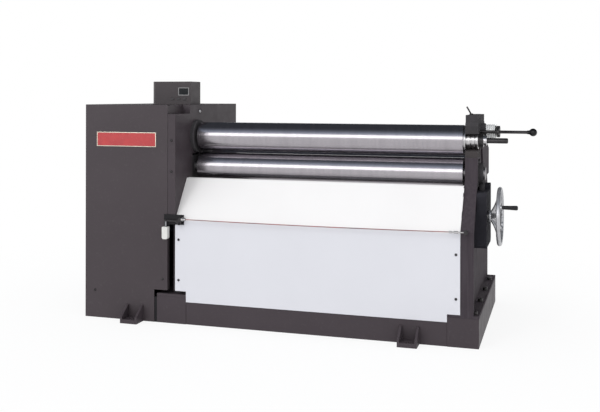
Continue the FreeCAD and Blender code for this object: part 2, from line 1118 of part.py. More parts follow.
def tooth_angle(radius, base, pitch, thickness):
    """Half of the angle that an involute tooth takes at a radius."""
    pressure = math.acos(min(1.0, base / radius))
    pitch_pressure = math.acos(base / pitch)
    involute = math.tan(pressure) - pressure
    pitch_involute = math.tan(pitch_pressure) - pitch_pressure
    return thickness / (2 * pitch) + pitch_involute - involute


def gear(module, teeth, outside, root, bore, width, tooth_at, x, y, z):
    """A spur gear with involute teeth, one of which points at the given angle."""
    pitch = module * teeth / 2
    base = pitch * math.cos(math.radians(size("pressure_angle")))
    thickness = math.pi * module / 2 - size("gear_backlash")
    flank = [
        max(base, root) + share * (outside - max(base, root))
        for share in (0, 0.35, 0.7, 1)
    ]
    half = [(root, tooth_angle(flank[0], base, pitch, thickness))] + [
        (radius, tooth_angle(radius, base, pitch, thickness)) for radius in flank
    ]
    points = []
    for number in range(int(teeth)):
        middle = math.radians(tooth_at) + 2 * math.pi * number / teeth
        tooth = [(radius, middle - angle) for radius, angle in half]
        tooth += [(radius, middle + angle) for radius, angle in reversed(half)]
        for radius, angle in tooth:
            points.append(Vector(0, radius * math.cos(angle), radius * math.sin(angle)))
    points.append(points[0])
    face = Part.Face(Part.makePolygon(points))
    blank = face.extrude(Vector(width, 0, 0))
    hole = Part.makeCylinder(bore, width, Vector(0, 0, 0), Vector(1, 0, 0))
    item = doc.addObject("Part::Feature", "Gear")
    item.Shape = blank.cut(hole)
    return place(item, x, y, z)


node(
    "upper_roll_gear",
    gear(
        size("roll_gear_module"),
        size("roll_gear_teeth"),
        size("roll_gear_outside"),
        size("roll_gear_root"),
        size("journal_radius"),
        size("roll_gear_width"),
        -90,
        "gear_x",
        "roll_y",
        "roll_height",
    ),
)
node(
    "front_roll_gear",
    gear(
        size("roll_gear_module"),
        size("roll_gear_teeth"),
        size("roll_gear_outside"),
        size("roll_gear_root"),
        size("stub_radius"),
        size("roll_gear_width"),
        90 + 180 / size("roll_gear_teeth"),
        "gear_x",
        "roll_y",
        "front_roll_z",
    ),
)
# The pinion sits behind and below the roll, where its teeth fall into the bull gear's.
PINION_SIDE = -45
BULL_PITCH = size("bull_gear_module") * size("bull_gear_teeth") / 2
PINION_PITCH = size("bull_gear_module") * size("pinion_teeth") / 2
node(
    "bull_gear",
    gear(
        size("bull_gear_module"),
        size("bull_gear_teeth"),
        BULL_PITCH + size("bull_gear_module"),
        BULL_PITCH - 1.25 * size("bull_gear_module"),
        size("journal_radius"),
        size("bull_gear_width"),
        PINION_SIDE,
        "bull_x",
        "roll_y",
        "roll_height",
    ),
)
pinion_teeth_ring = gear(
    size("bull_gear_module"),
    size("pinion_teeth"),
    PINION_PITCH + size("bull_gear_module"),
    PINION_PITCH - 1.25 * size("bull_gear_module"),
    size("pinion_bore"),
    size("bull_gear_width"),
    PINION_SIDE + 180 + 180 / size("pinion_teeth"),
    "bull_x",
    "pinion_y",
    "pinion_z",
)
pinion_shaft = rod(
    "pinion_bore", "bull_gear_width + 32", "bull_x - 30", "pinion_y", "pinion_z"
)
node("drive_pinion", fuse(pinion_teeth_ring, pinion_shaft))

# ------------------------------------------------------------- drive in cabinet

GEARBOX_X = "bull_x - 20 - gearbox_length"
gearbox = block(
    "gearbox_length",
    "gearbox_depth",
    "gearbox_height",
    GEARBOX_X,
    "pinion_y - gearbox_depth / 2",
    "pinion_z - gearbox_height / 2",
)
shaft_hole = rod(
    "pinion_bore + running_fit", "12", "bull_x - 32", "pinion_y", "pinion_z"
)
motor = rod(
    "motor_radius", "motor_length", "cabinet_left + 20", "pinion_y", "pinion_z"
)
motor_neck = rod(
    "motor_neck_radius",
    GEARBOX_X + " - cabinet_left - 20 - motor_length",
    "cabinet_left + 20 + motor_length",
    "pinion_y",
    "pinion_z",
)
node("gearmotor", fuse(cut(gearbox, shaft_hole), motor, motor_neck))

STAND_HEIGHT = "pinion_z - gearbox_height / 2 - beam_height"
stand_tube = block(
    "gearbox_length",
    "gearbox_depth - 20",
    STAND_HEIGHT,
    GEARBOX_X,
    "pinion_y - gearbox_depth / 2 + 10",
    "beam_height",
)
stand_hollow = block(
    "gearbox_length - 2 * stand_wall",
    "gearbox_depth - 20 - 2 * stand_wall",
    STAND_HEIGHT + " - 2 * stand_wall",
    GEARBOX_X + " + stand_wall",
    "pinion_y - gearbox_depth / 2 + 10 + stand_wall",
    "beam_height + stand_wall",
)
floor_plate = block(
    "left_block_left - cabinet_left - 2 * sheet - 20",
    "cabinet_back - front - 2 * sheet - 10",
    "stand_wall",
    "cabinet_left + sheet + 5",
    "front + sheet + 5",
    "beam_height",
)
node("gearmotor_stand", fuse(cut(stand_tube, stand_hollow), floor_plate))

lift_motor_case = rod(
    "lift_motor_radius",
    "lift_motor_length",
    "left_outer - 60 - lift_motor_length",
    LIFT_SHAFT_Y,
    LIFT_SHAFT_Z,
)
lift_motor_flange = block(
    "60",
    "lift_motor_flange",
    "lift_motor_flange",
    "left_outer - 60",
    f"{LIFT_SHAFT_Y} - lift_motor_flange / 2",
    f"{LIFT_SHAFT_Z} - lift_motor_flange / 2",
)
lift_motor_bore = rod(
    "lift_shaft_radius + running_fit", "62", "left_outer - 61", LIFT_SHAFT_Y, LIFT_SHAFT_Z
)
node("rear_lift_motor", cut(fuse(lift_motor_case, lift_motor_flange), lift_motor_bore))

# -------------------------------------------------------------------- cabinet

front_sheet = padded(
    "XZ_Plane",
    [
        ("cabinet_left", "0"),
        ("cabinet_left", "cabinet_height"),
        ("cabinet_right", "cabinet_height"),
        ("cabinet_right", "cabinet_step_height"),
        ("seam_x", "cabinet_step_height"),
        ("seam_x", "0"),
    ],
    "sheet",
    y="front",
)
front_return = block(
    "sheet",
    "cabinet_return",
    "cabinet_height - cabinet_step_height - 2 * sheet",
    "cabinet_right - sheet",
    "front + sheet",
    "cabinet_step_height",
)
node("cabinet_front_cover", fuse(front_sheet, front_return))
node(
    "cabinet_side_cover",
    block(
        "sheet",
        "cabinet_back - front - sheet",
        "cabinet_height - sheet",
        "cabinet_left",
        "front + sheet",
        "0",
    ),
)


def vent(row, column):
    """A slot of the grille that lets the motor's warm air out."""
    return block(
        "vent_length",
        "sheet",
        "vent_height",
        f"cabinet_left + 60 + {column} * vent_spacing",
        "cabinet_back - sheet",
        f"cabinet_height - vent_drop + {row} * vent_pitch",
    )


# The back sheet steps over the floor frame's end block, like the front one.
back_sheet = padded(
    "XZ_Plane",
    [
        ("cabinet_left + sheet", "0"),
        ("cabinet_left + sheet", "cabinet_height - sheet"),
        ("cabinet_right", "cabinet_height - sheet"),
        ("cabinet_right", "base_height + free_gap"),
        ("left_block_left - free_gap", "base_height + free_gap"),
        ("left_block_left - free_gap", "0"),
    ],
    "sheet",
    y="cabinet_back - sheet",
)
VENTS = [vent(row, column) for row in range(8) for column in range(2)]
node("cabinet_back_cover", cut(back_sheet, *VENTS))
top_sheet = block(
    "cabinet_width",
    "cabinet_back - front - sheet",
    "sheet",
    "cabinet_left",
    "front + sheet",
    "cabinet_height - sheet",
)
top_skirt = block(
    "sheet",
    "cabinet_back - front - 2 * sheet - cabinet_return",
    "skirt_height",
    "cabinet_right - sheet",
    "front + sheet + cabinet_return",
    "cabinet_height - sheet - skirt_height",
)
node("cabinet_top_cover", fuse(top_sheet, top_skirt))

badge = block(
    "badge_length",
    "badge_sheet",
    "badge_height",
    "cabinet_left + badge_inset",
    "front - badge_sheet",
    "cabinet_height - badge_drop - badge_height",
)
node("blank_badge", badge)

# ---------------------------------------------------------------- control box

BOX_X = "cabinet_right - box_width"
BOX_Y = "front + box_setback"


def box_block(length, depth, height, x, y, z):
    """A block measured from the lower left corner of the control box's face."""
    return block(
        length, depth, height, f"{BOX_X} + {x}", f"{BOX_Y} + {y}", f"cabinet_height + {z}"
    )


# the case has a folded corner on its left
case = padded(
    "XY_Plane",
    [
        ("0", "box_fold"),
        ("0", "box_depth"),
        ("box_width", "box_depth"),
        ("box_width", "0"),
        ("box_fold", "0"),
    ],
    "box_height",
    BOX_X,
    BOX_Y,
    "cabinet_height",
)
KEYS = [f"key_first + {number} * key_pitch" for number in range(3)]
key_holes = [
    box_block(
        "key_size + 2 * key_play",
        "8",
        "key_size * 0.6 + 2 * key_play",
        f"{middle} - key_size / 2 - key_play",
        "0",
        "key_bottom - key_play",
    )
    for middle in KEYS
]
window_hole = box_block(
    "display_width - 2 * display_border + 2 * free_gap",
    "6",
    "display_height - 2 * display_border + 2 * free_gap",
    "display_left + display_border - free_gap",
    "0",
    "display_bottom + display_border - free_gap",
)
node("control_box", cut(case, window_hole, *key_holes))
bezel = box_block(
    "display_width", "2", "display_height", "display_left", "(-2)", "display_bottom"
)
display_body = box_block(
    "display_width - 2 * display_border",
    "5",
    "display_height - 2 * display_border",
    "display_left + display_border",
    "0",
    "display_bottom + display_border",
)
display_recess = box_block(
    "display_width - 2 * display_border",
    "1.2",
    "display_height - 2 * display_border",
    "display_left + display_border",
    "(-2)",
    "display_bottom + display_border",
)
node("control_display", cut(fuse(bezel, display_body), display_recess))
for number, middle in enumerate(KEYS, start=1):
    key = box_block(
        "key_size", "6", "key_size * 0.6", f"{middle} - key_size / 2", "(-2.5)", "key_bottom"
    )
    node(f"control_key_{number}", key)

# ----------------------------------------------------------- white front covers

COVER_LEFT = "left_inner + free_gap"
COVER_RIGHT = "right_inner - free_gap"
lower_sheet = padded(
    "XZ_Plane",
    [
        (COVER_LEFT + " + cover_notch", "cover_bottom"),
        (COVER_LEFT + " + cover_notch", "notch_left_height"),
        (COVER_LEFT, "notch_left_height"),
        (COVER_LEFT, "cover_fold"),
        (COVER_RIGHT, "cover_fold"),
        (COVER_RIGHT, "notch_right_height"),
        (COVER_RIGHT + " - cover_notch", "notch_right_height"),
        (COVER_RIGHT + " - cover_notch", "cover_bottom"),
    ],
    "sheet",
    y="front",
)
node("lower_front_cover", lower_sheet)
upper_sheet = padded(
    "YZ_Plane",
    [
        ("front", "cover_fold"),
        ("front + cover_setback", "cover_top"),
        ("front + cover_setback + 30", "cover_top"),
        ("front + cover_setback + 30", "cover_top - sheet"),
        (
            "front_inside + cover_setback * (1 - sheet / (cover_top - cover_fold))",
            "cover_top - sheet",
        ),
        ("front_inside", "cover_fold"),
    ],
    "frame_gap - 2 * free_gap",
    COVER_LEFT,
)
node("upper_front_cover", upper_sheet)


def cover_screw(x, z):
    """A low screw head that stands on a sheet in front."""
    return rod("6", "4", x, "front - 4", z, axis="y")


screws = []
for x in ("left_inner + cover_screw_inset", "right_inner - cover_screw_inset"):
    for z in ("cover_screw_low", "cover_screw_high"):
        screws.append(cover_screw(x, z))
for drop in ("11.5", "156.5"):
    screws.append(
        cover_screw("left_outer + frame_thickness / 2", "roll_height - " + drop)
    )
screws.append(cover_screw("cabinet_right - 24", "cover_screw_low"))
screws.append(cover_screw("cabinet_left + 52", "cabinet_step_height - 22"))
# one more holds the skirt through the left frame's shoulder
screws.append(rod("8", "5", "left_inner", "roll_y + 38.5", "cabinet_height - 33"))
node("cover_screws", group(*screws))

# ------------------------------------------------------------------ trip wire

SWITCH_X = "left_outer + 12 - switch_width"
PLUNGER_X = SWITCH_X + " + switch_width / 2"
PLUNGER_Y = "front - 5 - switch_depth / 2 + 2"
PIVOT_X = "left_inner + pivot_inset"
bracket = padded(
    "XZ_Plane",
    [
        ("left_inner + 46", "pivot_height - 8"),
        ("left_inner + 46", "bracket_top"),
        (SWITCH_X, "bracket_top"),
        (SWITCH_X, "switch_bottom"),
        (SWITCH_X + " + switch_width", "switch_bottom"),
        (SWITCH_X + " + switch_width", "pivot_height - 8"),
    ],
    "5",
    y="front - 5",
)
trip_pivot = rod("5", "16", PIVOT_X, "front - 21", "pivot_height", axis="y")
node("trip_bracket", fuse(bracket, trip_pivot))

switch_case = padded(
    "XZ_Plane",
    [
        ("5", "0"),
        ("0", "6"),
        ("0", "switch_height"),
        ("switch_width", "switch_height"),
        ("switch_width", "6"),
        ("switch_width - 5", "0"),
    ],
    "switch_depth",
    SWITCH_X,
    "front - 5 - switch_depth",
    "switch_bottom",
)
plunger_hole = rod(
    "4 + running_fit",
    "20",
    PLUNGER_X,
    PLUNGER_Y,
    "switch_bottom + switch_height - 20",
    axis="z",
)
node("trip_switch", cut(switch_case, plunger_hole))
ARM_UNDERSIDE = "pivot_height + 7"
node(
    "trip_plunger",
    rod(
        "4",
        ARM_UNDERSIDE + " - 0.5 - switch_bottom - switch_height + 12",
        PLUNGER_X,
        PLUNGER_Y,
        "switch_bottom + switch_height - 12",
        axis="z",
    ),
)

# The rocker is a bell crank: the wire pulls its upright arm, its long arm lets the plunger rise.
rocker = padded(
    "XZ_Plane",
    [
        (PLUNGER_X + " - 9", ARM_UNDERSIDE),
        (PLUNGER_X + " - 9", ARM_UNDERSIDE + " + 7"),
        (PIVOT_X + " - 12", ARM_UNDERSIDE + " + 5"),
        (PIVOT_X, "wire_height + 7"),
        (PIVOT_X + " + 10", "wire_height + 7"),
        (PIVOT_X + " + 10", "pivot_height - 2"),
        (PIVOT_X + " + 4", "pivot_height - 8"),
        (PIVOT_X + " - 6", "pivot_height - 8"),
        (PIVOT_X + " - 20", ARM_UNDERSIDE),
    ],
    "5",
    y="front - 17",
)
rocker_bore = rod("5 + running_fit", "5", PIVOT_X, "front - 17", "pivot_height", axis="y")
node("trip_rocker", cut(rocker, rocker_bore))

# The wire ends in the tensioner's wide socket, which moves a little with the rocker.
TENSIONER_X = PIVOT_X + " + 10"
node(
    "wire_tensioner",
    turned(
        [
            (TENSIONER_X, "0"),
            (TENSIONER_X, "7"),
            (TENSIONER_X + " + 2", "9"),
            (TENSIONER_X + " + 8", "9"),
            (TENSIONER_X + " + 10", "6"),
            (TENSIONER_X + " + tensioner_length", "6"),
            (TENSIONER_X + " + tensioner_length", "wire_radius + socket_play"),
            (TENSIONER_X + " + tensioner_length - 8", "wire_radius + socket_play"),
            (TENSIONER_X + " + tensioner_length - 8", "0"),
        ],
        y="wire_y",
        z="wire_height",
    ),
)

ANCHOR_START = "right_inner - anchor_start"
wire_run = (
    size("frame_gap")
    - size("pivot_inset")
    - 10
    - size("tensioner_length")
    + 8
    - size("socket_play")
    - size("anchor_start")
    - size("free_gap")
)
wire_start = Vector(0, 0, 0)
wire_middle = Vector(wire_run / 2, 0, -size("wire_sag"))
wire_path = Part.Wire(
    Part.Arc(wire_start, wire_middle, Vector(wire_run, 0, 0)).toShape()
)
wire_section = Part.Wire(
    Part.makeCircle(size("wire_radius"), wire_start, Vector(1, 0, 0))
)
wire = doc.addObject("Part::Feature", "Wire")
wire.Shape = wire_path.makePipeShell([wire_section], True, False)
place(
    wire, TENSIONER_X + " + tensioner_length - 8 + socket_play", "wire_y", "wire_height"
)
node("trip_wire", wire)

# On the right the wire ends in two clamps and an eye round a headed post.
anchor_barrel = turned(
    [
        (ANCHOR_START, "0"),
        (ANCHOR_START, "5"),
        (ANCHOR_START + " + 12", "5"),
        (ANCHOR_START + " + 13", "3"),
        (ANCHOR_START + " + 20", "3"),
        (ANCHOR_START + " + 21", "5.5"),
        (ANCHOR_START + " + 37", "5.5"),
        (ANCHOR_START + " + 38", "3"),
        (ANCHOR_START + " + 62", "3"),
        (ANCHOR_START + " + 62", "0"),
    ],
    y="wire_y",
    z="wire_height",
)
EYE_X = ANCHOR_START + " + 70"
eye = doc.addObject("Part::Torus", "Eye")
eye.setExpression("Radius1", formula("anchor_eye"))
eye.Radius2 = 2.5
place(eye, EYE_X, "wire_y", "wire_height", axis="y")
anchor_post = rod("anchor_eye - 2", "22", EYE_X, "front - 22", "wire_height", axis="y")
anchor_head = rod("anchor_eye", "4", EYE_X, "front - 26", "wire_height", axis="y")
node("wire_anchor", fuse(anchor_barrel, eye, anchor_post, anchor_head))

# ----------------------------------------------- cap over the roll's free journal

# The cap closes the bearing from above and swings up about the pin behind it.
cap_body = padded(
    "YZ_Plane",
    [
        ("front + cap_front", "lip_height"),
        ("front + cap_front - 4", "lip_height + 8"),
        ("front + cap_front - 4", "lip_height + 36"),
        ("front + cap_front + 2", "lip_height + 46"),
        ("front + cap_front + 14", "lip_height + 54"),
        ("front + cap_front + 14", "cap_height - 3"),
        ("front + cap_front + 17", "cap_height"),
        ("front + cap_back - 8", "cap_height"),
        ("front + cap_back", "cap_height - 8"),
        ("front + cap_back", "hinge_height"),
        ("hinge_y", "hinge_height"),
        ("hinge_y", "split_height"),
        ("roll_y", "split_height"),
        ("roll_y", "lip_height"),
    ],
    "head_thickness",
    "right_inner",
)
spring_seat = rod(
    "release_seat", "seat_boss", "head_outer", "release_y", "release_height"
)
cap_hollow = rod(
    "journal_radius + cap_play", "head_thickness", "right_inner", "roll_y", "roll_height"
)
tongue_x = "right_inner + hinge_cheek + free_gap"
tongue_width = "head_thickness - 2 * hinge_cheek - 2 * free_gap"
tongue = rod("hinge_round", tongue_width, tongue_x, "hinge_y", "hinge_height")


def cheek_room(x):
    """The room beside the cap's tongue for one ear of the frame."""
    width = "hinge_cheek + free_gap"
    around = rod("hinge_round + 2", width, x, "hinge_y", "hinge_height")
    below = block(
        width,
        "cap_back - hinge_setback + hinge_round + 2",
        "hinge_height - split_height",
        x,
        "hinge_y - hinge_round - 2",
        "split_height",
    )
    behind = block(
        width, "cap_back - hinge_setback", "cap_height - split_height", x, "hinge_y", "split_height"
    )
    return fuse(around, below, behind)


hinge_bore = rod(
    "hinge_pin_radius + running_fit",
    "head_thickness",
    "right_inner",
    "hinge_y",
    "hinge_height",
)
release_bore = rod(
    "release_sleeve + running_fit",
    "head_thickness + seat_boss",
    "right_inner",
    "release_y",
    "release_height",
)
hand_rod_bore = rod(
    "release_radius + running_fit",
    "head_thickness + seat_boss",
    "right_inner",
    "hand_rod_y",
    "release_height",
)
hinged = fuse(
    cut(
        cap_body,
        cheek_room("right_inner"),
        cheek_room("head_outer - hinge_cheek - free_gap"),
    ),
    tongue,
    spring_seat,
)
node("journal_cap", cut(hinged, cap_hollow, hinge_bore, release_bore, hand_rod_bore))

node(
    "cap_hinge_pin",
    turned(
        [
            ("right_inner - 6", "0"),
            ("right_inner - 6", "hinge_pin_radius + 5"),
            ("right_inner - free_gap", "hinge_pin_radius + 5"),
            ("right_inner - free_gap", "hinge_pin_radius"),
            ("head_outer + 5", "hinge_pin_radius"),
            ("head_outer + 6.5", "hinge_pin_radius - 1.5"),
            ("head_outer + 6.5", "0"),
        ],
        y="hinge_y",
        z="hinge_height",
    ),
)

# A thin pull pin leans over the cap towards the roll.
pull_foot = rod("8", "7", "right_inner + 20", "roll_y", "cap_height", axis="z")
pull_stem = rod("3.5", "40", "right_inner + 20", "roll_y", "cap_height + 2", axis="z")
pull_stem.Placement.Rotation = Rotation(Vector(0, 1, 0), -30)
node("cap_pull_pin", fuse(pull_foot, pull_stem))

# Pushing the ball drives the disc off the inner face of the frame against the spring.
# The hand rod slides beside the spring, tied to the plunger by a lug on its collar.
plunger = turned(
    [
        ("right_inner - free_gap - 8", "0"),
        ("right_inner - free_gap - 8", "release_disc"),
        ("right_inner - free_gap", "release_disc"),
        ("right_inner - free_gap", "release_sleeve"),
        ("collar_x", "release_sleeve"),
        ("collar_x", "collar_radius"),
        ("collar_x + collar_width - 2", "collar_radius"),
        ("collar_x + collar_width", "collar_radius - 2"),
        ("collar_x + collar_width", "0"),
    ],
    y="release_y",
    z="release_height",
)
lug = block(
    "collar_width - 4",
    "release_setback - hand_rod_setback",
    "4 * release_radius",
    "collar_x + 2",
    "hand_rod_y",
    "release_height - 2 * release_radius",
)
lug_end = rod(
    "2 * release_radius", "collar_width - 4", "collar_x + 2", "hand_rod_y", "release_height"
)
BALL_X = "head_outer + ball_reach"
hand_rod = turned(
    [
        ("right_inner + 24", "0"),
        ("right_inner + 24", "release_radius"),
        (BALL_X + " - 26", "release_radius"),
        (BALL_X + " - 26", "4"),
        (BALL_X + " - 12", "4"),
        (BALL_X + " - 12", "0"),
    ],
    y="hand_rod_y",
    z="release_height",
)
node("release_rod", fuse(plunger, lug, lug_end, hand_rod))
ball = doc.addObject("Part::Sphere", "Ball")
ball.setExpression("Radius", formula("ball_radius"))
place(ball, BALL_X, "hand_rod_y", "release_height")
neck = doc.addObject("Part::Cone", "Neck")
neck.setExpression("Radius1", formula("release_radius + 1"))
neck.setExpression("Radius2", formula("ball_radius - 5"))
neck.Height = 18
place(neck, BALL_X + " - 26", "hand_rod_y", "release_height", axis="x")
ball_bore = rod("4", "14", BALL_X + " - 26", "hand_rod_y", "release_height")
node("release_ball", cut(fuse(ball, neck), ball_bore))

coil = doc.addObject("Part::Helix", "Coil")
coil.setExpression("Pitch", formula("(spring_length - 2 * spring_wire - 1) / spring_turns"))
coil.setExpression("Height", formula("spring_length - 2 * spring_wire - 1"))
coil.setExpression("Radius", formula("spring_radius"))
coil_section = doc.addObject("Part::Circle", "CoilSection")
coil_section.setExpression("Radius", formula("spring_wire"))
coil_section.Placement = Placement(
    Vector(size("spring_radius"), 0, 0), Rotation(Vector(1, 0, 0), 90)
)
spring = doc.addObject("Part::Sweep", "Spring")
spring.Sections = [coil_section]
spring.Spine = (coil, [])
spring.Solid = True
spring.Frenet = True
place(
    spring, "boss_x + spring_wire + 0.5", "release_y", "release_height", axis="x"
)
node("release_spring", spring)

doc.recompute()
for item in doc.Objects:
    if "Invalid" in item.State or "Error" in item.State:
        raise RuntimeError(f"{item.Name} ({item.Label}) did not build: {item.State}")
for item in nodes:
    if item.Shape.isNull() or not item.Shape.isValid():
        raise RuntimeError(f"{item.Label} has no valid shape")
    item.Shape.exportStep(f"parts/{item.Label}.step")
print(len(nodes), "sub-parts")
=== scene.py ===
import json
import math

import bmesh
import bpy
from mathutils import Matrix, Vector


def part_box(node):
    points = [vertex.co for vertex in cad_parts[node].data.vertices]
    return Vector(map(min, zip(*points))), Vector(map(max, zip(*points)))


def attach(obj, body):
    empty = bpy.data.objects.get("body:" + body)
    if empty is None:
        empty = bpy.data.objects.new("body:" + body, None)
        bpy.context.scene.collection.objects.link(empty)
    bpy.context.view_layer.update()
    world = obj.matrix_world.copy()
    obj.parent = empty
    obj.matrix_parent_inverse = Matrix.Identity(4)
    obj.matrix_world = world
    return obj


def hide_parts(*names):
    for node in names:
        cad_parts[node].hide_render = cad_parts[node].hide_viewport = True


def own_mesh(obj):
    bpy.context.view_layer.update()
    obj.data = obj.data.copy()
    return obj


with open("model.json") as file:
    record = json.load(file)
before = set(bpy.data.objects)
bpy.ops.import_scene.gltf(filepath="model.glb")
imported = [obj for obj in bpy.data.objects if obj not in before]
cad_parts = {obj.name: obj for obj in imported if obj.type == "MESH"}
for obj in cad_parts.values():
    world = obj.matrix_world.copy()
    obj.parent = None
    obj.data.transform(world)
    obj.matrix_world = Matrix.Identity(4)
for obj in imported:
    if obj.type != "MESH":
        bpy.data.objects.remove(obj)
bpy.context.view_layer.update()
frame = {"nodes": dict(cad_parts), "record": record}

# ---------------------------------------------------------------- floor frame
# Two welded plate boxes, two folded channels and the square tubes under the cabinet,
# stood on four drilled feet with gussets. Mild steel, sprayed in one coat of dark
# machine enamel after welding, so every edge is thin in paint and a little worn. The
# edges are painted lighter for that wear and also as a painted highlight.
MM = 0.001
FRAME_EDGE = 1.5
MERGE = 0.01
FLAT_ANGLE = 0.5
CORNER_ANGLE = 28
SHEET_SHARP = 50
ENAMEL_DARK = (0.057, 0.045, 0.051)
# The worn colour, lighter than the paint, is also the painted highlight on edges.
ENAMEL_WORN_AND_EDGE_LIGHT = (0.15, 0.135, 0.135)

nodes = frame["nodes"]
body_of = {
    node: body
    for body, members in frame["record"]["behaviour"]["bodies"].items()
    for node in members
}


class Shading:
    """The nodes of a material or of the surround, with short ways to join them."""

    def __init__(self, tree):
        self.tree = tree

    def add(self, kind, inputs=None, **settings):
        made = self.tree.nodes.new(kind)
        for name, value in settings.items():
            setattr(made, name, value)
        for name, value in (inputs or {}).items():
            made.inputs[name].default_value = value
        return made

    def feed(self, source, target):
        self.tree.links.new(source, target)

    def level(self, pattern, span, to=(0, 1), **settings):
        """A pattern's values in a span, brought to a new range."""
        mapped = self.add("ShaderNodeMapRange", **settings)
        ends = ("From Min", "From Max", "To Min", "To Max")
        for name, value in zip(ends, (*span, *to)):
            mapped.inputs[name].default_value = value
        self.feed(pattern, mapped.inputs["Value"])
        return mapped.outputs["Result"]


class Finish(Shading):
    """A surface finish: one shader, and patterns on object coordinates that feed it.

    Sizes are in mm.
    """

    def __init__(self, name, metal=0.0, specular=0.5):
        self.material = bpy.data.materials.new(name)
        self.material.use_nodes = True
        super().__init__(self.material.node_tree)
        self.shader = self.tree.nodes["Principled BSDF"]
        self.shader.inputs["Metallic"].default_value = metal
        self.shader.inputs["Specular IOR Level"].default_value = specular

    def speckle(self, size, detail=3.0, rough=0.5, stretch=(1, 1, 1)):
        """A cloudy pattern with spots of about the given size."""
        place = self.add("ShaderNodeTexCoord").outputs["Object"]
        mapping = self.add("ShaderNodeMapping", {"Scale": stretch})
        self.feed(place, mapping.inputs["Vector"])
        noise = self.add(
            "ShaderNodeTexNoise",
            {"Scale": 1 / (size * MM), "Detail": detail, "Roughness": rough},
        )
        self.feed(mapping.outputs["Vector"], noise.inputs["Vector"])
        return noise.outputs["Fac"]

    def spots(self, size, detail, span, to=(0, 1)):
        """A plain speckle, of which only the values in a span count."""
        return self.level(self.speckle(size, detail), span, to)

    def tint(self, share, under, over):
        """One colour over another, as far as the pattern says."""
        mixer = self.add("ShaderNodeMix", data_type="RGBA")
        self.feed(share, mixer.inputs["Factor"])
        for socket, value in ((mixer.inputs[6], under), (mixer.inputs[7], over)):
            if isinstance(value, tuple):
                socket.default_value = (*value, 1)
            else:
                self.feed(value, socket)
        return mixer.outputs[2]

    def edges(self, radius):
        """1 along outer edges and 0 on open surfaces."""
        eased_normal = self.add("ShaderNodeBevel", {"Radius": radius * MM}, samples=4)
        across = self.add("ShaderNodeVectorMath", operation="DOT_PRODUCT")
        self.feed(eased_normal.outputs["Normal"], across.inputs[0])
        true_normal = self.add("ShaderNodeNewGeometry").outputs["Normal"]
        self.feed(true_normal, across.inputs[1])
        return self.level(across.outputs["Value"], (0.995, 0.90))

    def times(self, first, second):
        """Two patterns, or a pattern and a number, multiplied."""
        made = self.add("ShaderNodeMath", operation="MULTIPLY")
        for socket, value in ((made.inputs[0], first), (made.inputs[1], second)):
            if isinstance(value, (int, float)):
                socket.default_value = value
            else:
                self.feed(value, socket)
        return made.outputs[0]

    def relief(self, pattern, depth, strength=0.5):
        """Raises and sinks the surface by a pattern, about as deep as given."""
        settings = {"Strength": strength, "Distance": depth * MM}
        bump = self.add("ShaderNodeBump", settings)
        self.feed(pattern, bump.inputs["Height"])
        self.feed(bump.outputs["Normal"], self.shader.inputs["Normal"])

    def colour(self, value):
        self.feed(value, self.shader.inputs["Base Color"])

    def roughness(self, value):
        self.feed(value, self.shader.inputs["Roughness"])


def shade(colour, share):
    """A colour, darker or lighter."""
    return tuple(part * share for part in colour)


def enamel(
    name,
    colour,
    worn,
    rough=0.48,
    specular=0.18,
    peel=0.10,
    edge_tint=0.55,
    grime=0.12,
    runs=0.0,
):
    """Sprayed machine enamel: orange peel, edge tint, faint grime and upright runs."""
    finish = Finish(name, specular=specular)
    cloud = finish.spots(350, 4, (0.3, 0.7))
    body = finish.tint(cloud, colour, shade(colour, 1 - grime))
    body = finish.tint(finish.spots(12, 3, (0.60, 0.80), (0, grime)), body, worn)
    if runs:
        streaks = finish.speckle(9, 4, 0.6, (1, 1, 0.04))
        streaks = finish.level(streaks, (0.42, 0.66), (0, runs))
        body = finish.tint(streaks, body, worn)
    # Edges take the worn colour: wear, and on dark enamels a painted highlight too.
    rubbed = finish.times(
        finish.edges(1.6), finish.spots(30, 3, (0.35, 0.65), (0, edge_tint))
    )
    finish.colour(finish.tint(rubbed, body, worn))
    finish.roughness(finish.spots(60, 3, (0.2, 0.8), (rough - 0.06, rough + 0.08)))
    finish.relief(finish.speckle(4, 2), peel)
    return finish.material


def coat(finish, *names):
    """Gives CAD nodes a finish."""
    for name in names:
        mesh = nodes[name].data
        mesh.materials.clear()
        mesh.materials.append(finish)


def settle(piece, finish, *replaced, body=None, slot=None):
    """Hands a finished piece to the machine in place of the CAD nodes it stands for."""
    if finish is not None:
        piece.data.materials.clear()
        piece.data.materials.append(finish)
    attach(piece, body or body_of[replaced[0]])
    if replaced:
        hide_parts(*replaced)
    return piece


def piece_from(name, edit, sharp):
    """Makes a piece of an edited mesh, smooth but for its sharper edges."""
    bmesh.ops.recalc_face_normals(edit, faces=edit.faces)
    mesh = bpy.data.meshes.new(name)
    edit.to_mesh(mesh)
    edit.free()
    mesh.polygons.foreach_set("use_smooth", [True] * len(mesh.polygons))
    mesh.set_sharp_from_angle(angle=math.radians(sharp))
    piece = bpy.data.objects.new(name, mesh)
    bpy.context.scene.collection.objects.link(piece)
    return piece


def round_off(edit, lines, width):
    """Rounds the given edges of an edited mesh."""
    bmesh.ops.bevel(
        edit,
        geom=lines,
        offset=width * MM,
        segments=2,
        profile=0.5,
        affect="EDGES",
        clamp_overlap=True,
        material=-1,
    )


def eased(name, node, width, finish):
    """A plate, sheet or casting with its outer corners rounded off."""
    edit = bmesh.new()
    edit.from_mesh(nodes[node].data)
    bmesh.ops.remove_doubles(edit, verts=edit.verts, dist=MERGE * MM)
    flat = math.radians(FLAT_ANGLE)
    bmesh.ops.dissolve_limit(edit, angle_limit=flat, verts=edit.verts, edges=edit.edges)
    corner = math.radians(CORNER_ANGLE)
    corners = [
        line
        for line in edit.edges
        if line.is_convex and line.calc_face_angle(0) > corner
    ]
    round_off(edit, corners, width)
    piece = piece_from(name, edit, SHEET_SHARP)
    flatten = piece.modifiers.new("flat faces", "WEIGHTED_NORMAL")
    flatten.keep_sharp = True
    flatten.weight = 80
    return settle(piece, finish, node)


